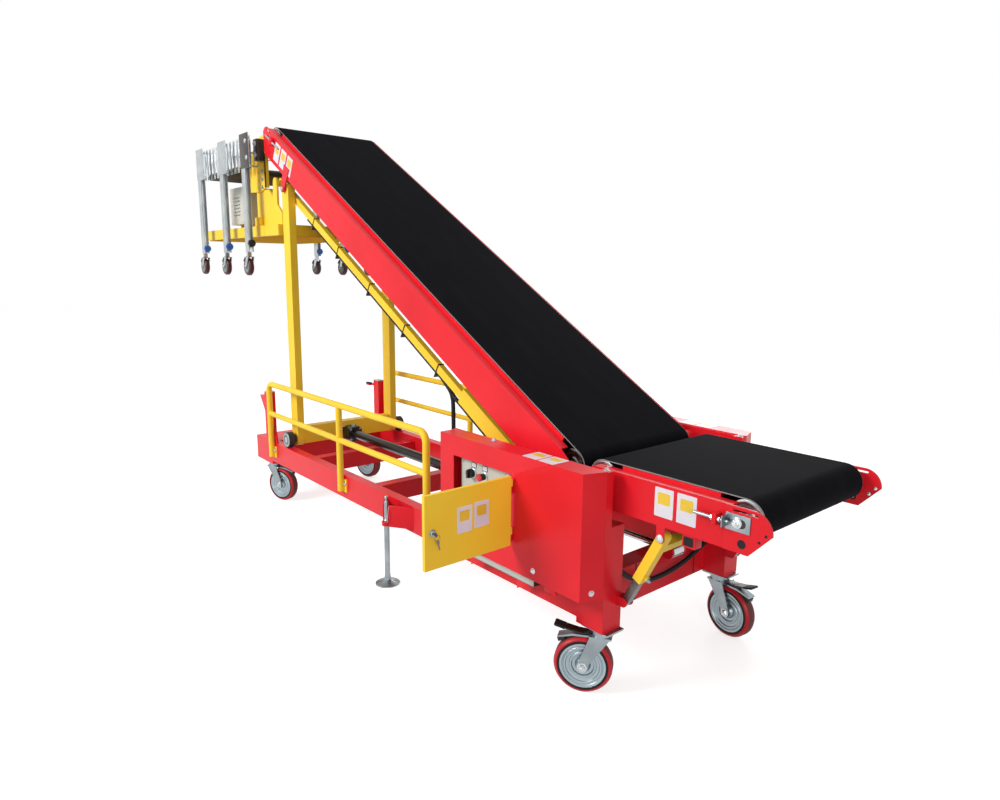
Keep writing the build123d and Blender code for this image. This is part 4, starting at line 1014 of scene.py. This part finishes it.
def make_stage():
    """A floor that the camera and the gloss see as white, with the object's shadow on it."""
    mesh = bpy.data.meshes.new("floor")
    reach = 30
    corners = [(-reach, -reach, 0), (reach, -reach, 0), (reach, reach, 0), (-reach, reach, 0)]
    mesh.from_pydata(corners, [], [(0, 1, 2, 3)])
    floor = bpy.data.objects.new("floor", mesh)
    bpy.context.scene.collection.objects.link(floor)
    material, tree, shader = new_material("floor")
    seen = seen_by_eye(tree)
    tones = ((0.0, (0.40, 0.40, 0.40)), (1.0, (0.64, 0.64, 0.64)))
    tree.links.new(ramp(tree, seen, tones), shader.inputs["Base Color"])
    shader.inputs["Roughness"].default_value = 1.0
    shader.inputs["Specular IOR Level"].default_value = 0.0
    shader.inputs["Emission Color"].default_value = (1, 1, 1, 1)
    tree.links.new(spread(tree, seen, 0.0, 0.70), shader.inputs["Emission Strength"])
    floor.data.materials.append(material)


def seen_by_eye(tree):
    """One for the camera's, glossy and transmitted rays, and zero for the light that falls on things."""
    paths = tree.nodes.new("ShaderNodeLightPath")
    value = paths.outputs["Is Camera Ray"]
    for other in ("Is Glossy Ray", "Is Transmission Ray"):
        larger = tree.nodes.new("ShaderNodeMath")
        larger.operation = "MAXIMUM"
        tree.links.new(value, larger.inputs[0])
        tree.links.new(paths.outputs[other], larger.inputs[1])
        value = larger.outputs["Value"]
    return value


def make_world():
    """White to the eye, and dimmer as light on the object."""
    world = bpy.data.worlds.new("studio")
    bpy.context.scene.world = world
    world.use_nodes = True
    tree = world.node_tree
    background = tree.nodes["Background"]
    background.inputs["Color"].default_value = (1, 1, 1, 1)
    tree.links.new(spread(tree, seen_by_eye(tree), 0.46, 1.0), background.inputs["Strength"])


def area_light(name, place, target, size, power):
    light = bpy.data.lights.new(name, "AREA")
    light.shape = "DISK"
    light.size = size
    light.energy = power
    lamp = bpy.data.objects.new(name, light)
    bpy.context.scene.collection.objects.link(lamp)
    lamp.location = place
    direction = Vector(target) - Vector(place)
    lamp.rotation_euler = direction.to_track_quat("-Z", "Y").to_euler()


def make_camera():
    yaw = math.radians(camera_yaw)
    pitch = math.radians(camera_pitch)
    roll = math.radians(camera_roll)
    level = Vector((-math.cos(yaw), math.sin(yaw), 0))
    right = Vector((math.sin(yaw), math.cos(yaw), 0))
    forward = level * math.cos(pitch) - Vector((0, 0, math.sin(pitch)))
    up = right.cross(forward)
    side = right * math.cos(roll) + up * math.sin(roll)
    top = up * math.cos(roll) - right * math.sin(roll)
    data = bpy.data.cameras.new("camera")
    data.lens = camera_lens
    data.sensor_width = sensor_width
    data.clip_end = 100
    camera = bpy.data.objects.new("camera", data)
    bpy.context.scene.collection.objects.link(camera)
    turn = Matrix((side, top, -forward)).transposed().to_4x4()
    camera.matrix_world = Matrix.Translation(camera_place) @ turn
    bpy.context.scene.camera = camera


def set_stage():
    make_stage()
    make_world()
    for lamp in lamps:
        area_light(*lamp)
    bpy.context.scene.view_settings.view_transform = "Standard"


make_camera()
front_hose()
hose_drop()
dress_nodes()
for make in (cabinet_signs, chassis_bolts, cabinet_trim, tray_channel, control_panel, hinge_leaves,
             stand_caps, jacks, front_beam_trim, door_pieces, cylinder_head, roller_caps, boom_pieces,
             belts_and_drums, link_ties, head_trim, beam_seams, box_louvres, track_details,
             small_caster_details, infeed_pieces, brace_pieces, caster_pieces):
    make()
set_stage()
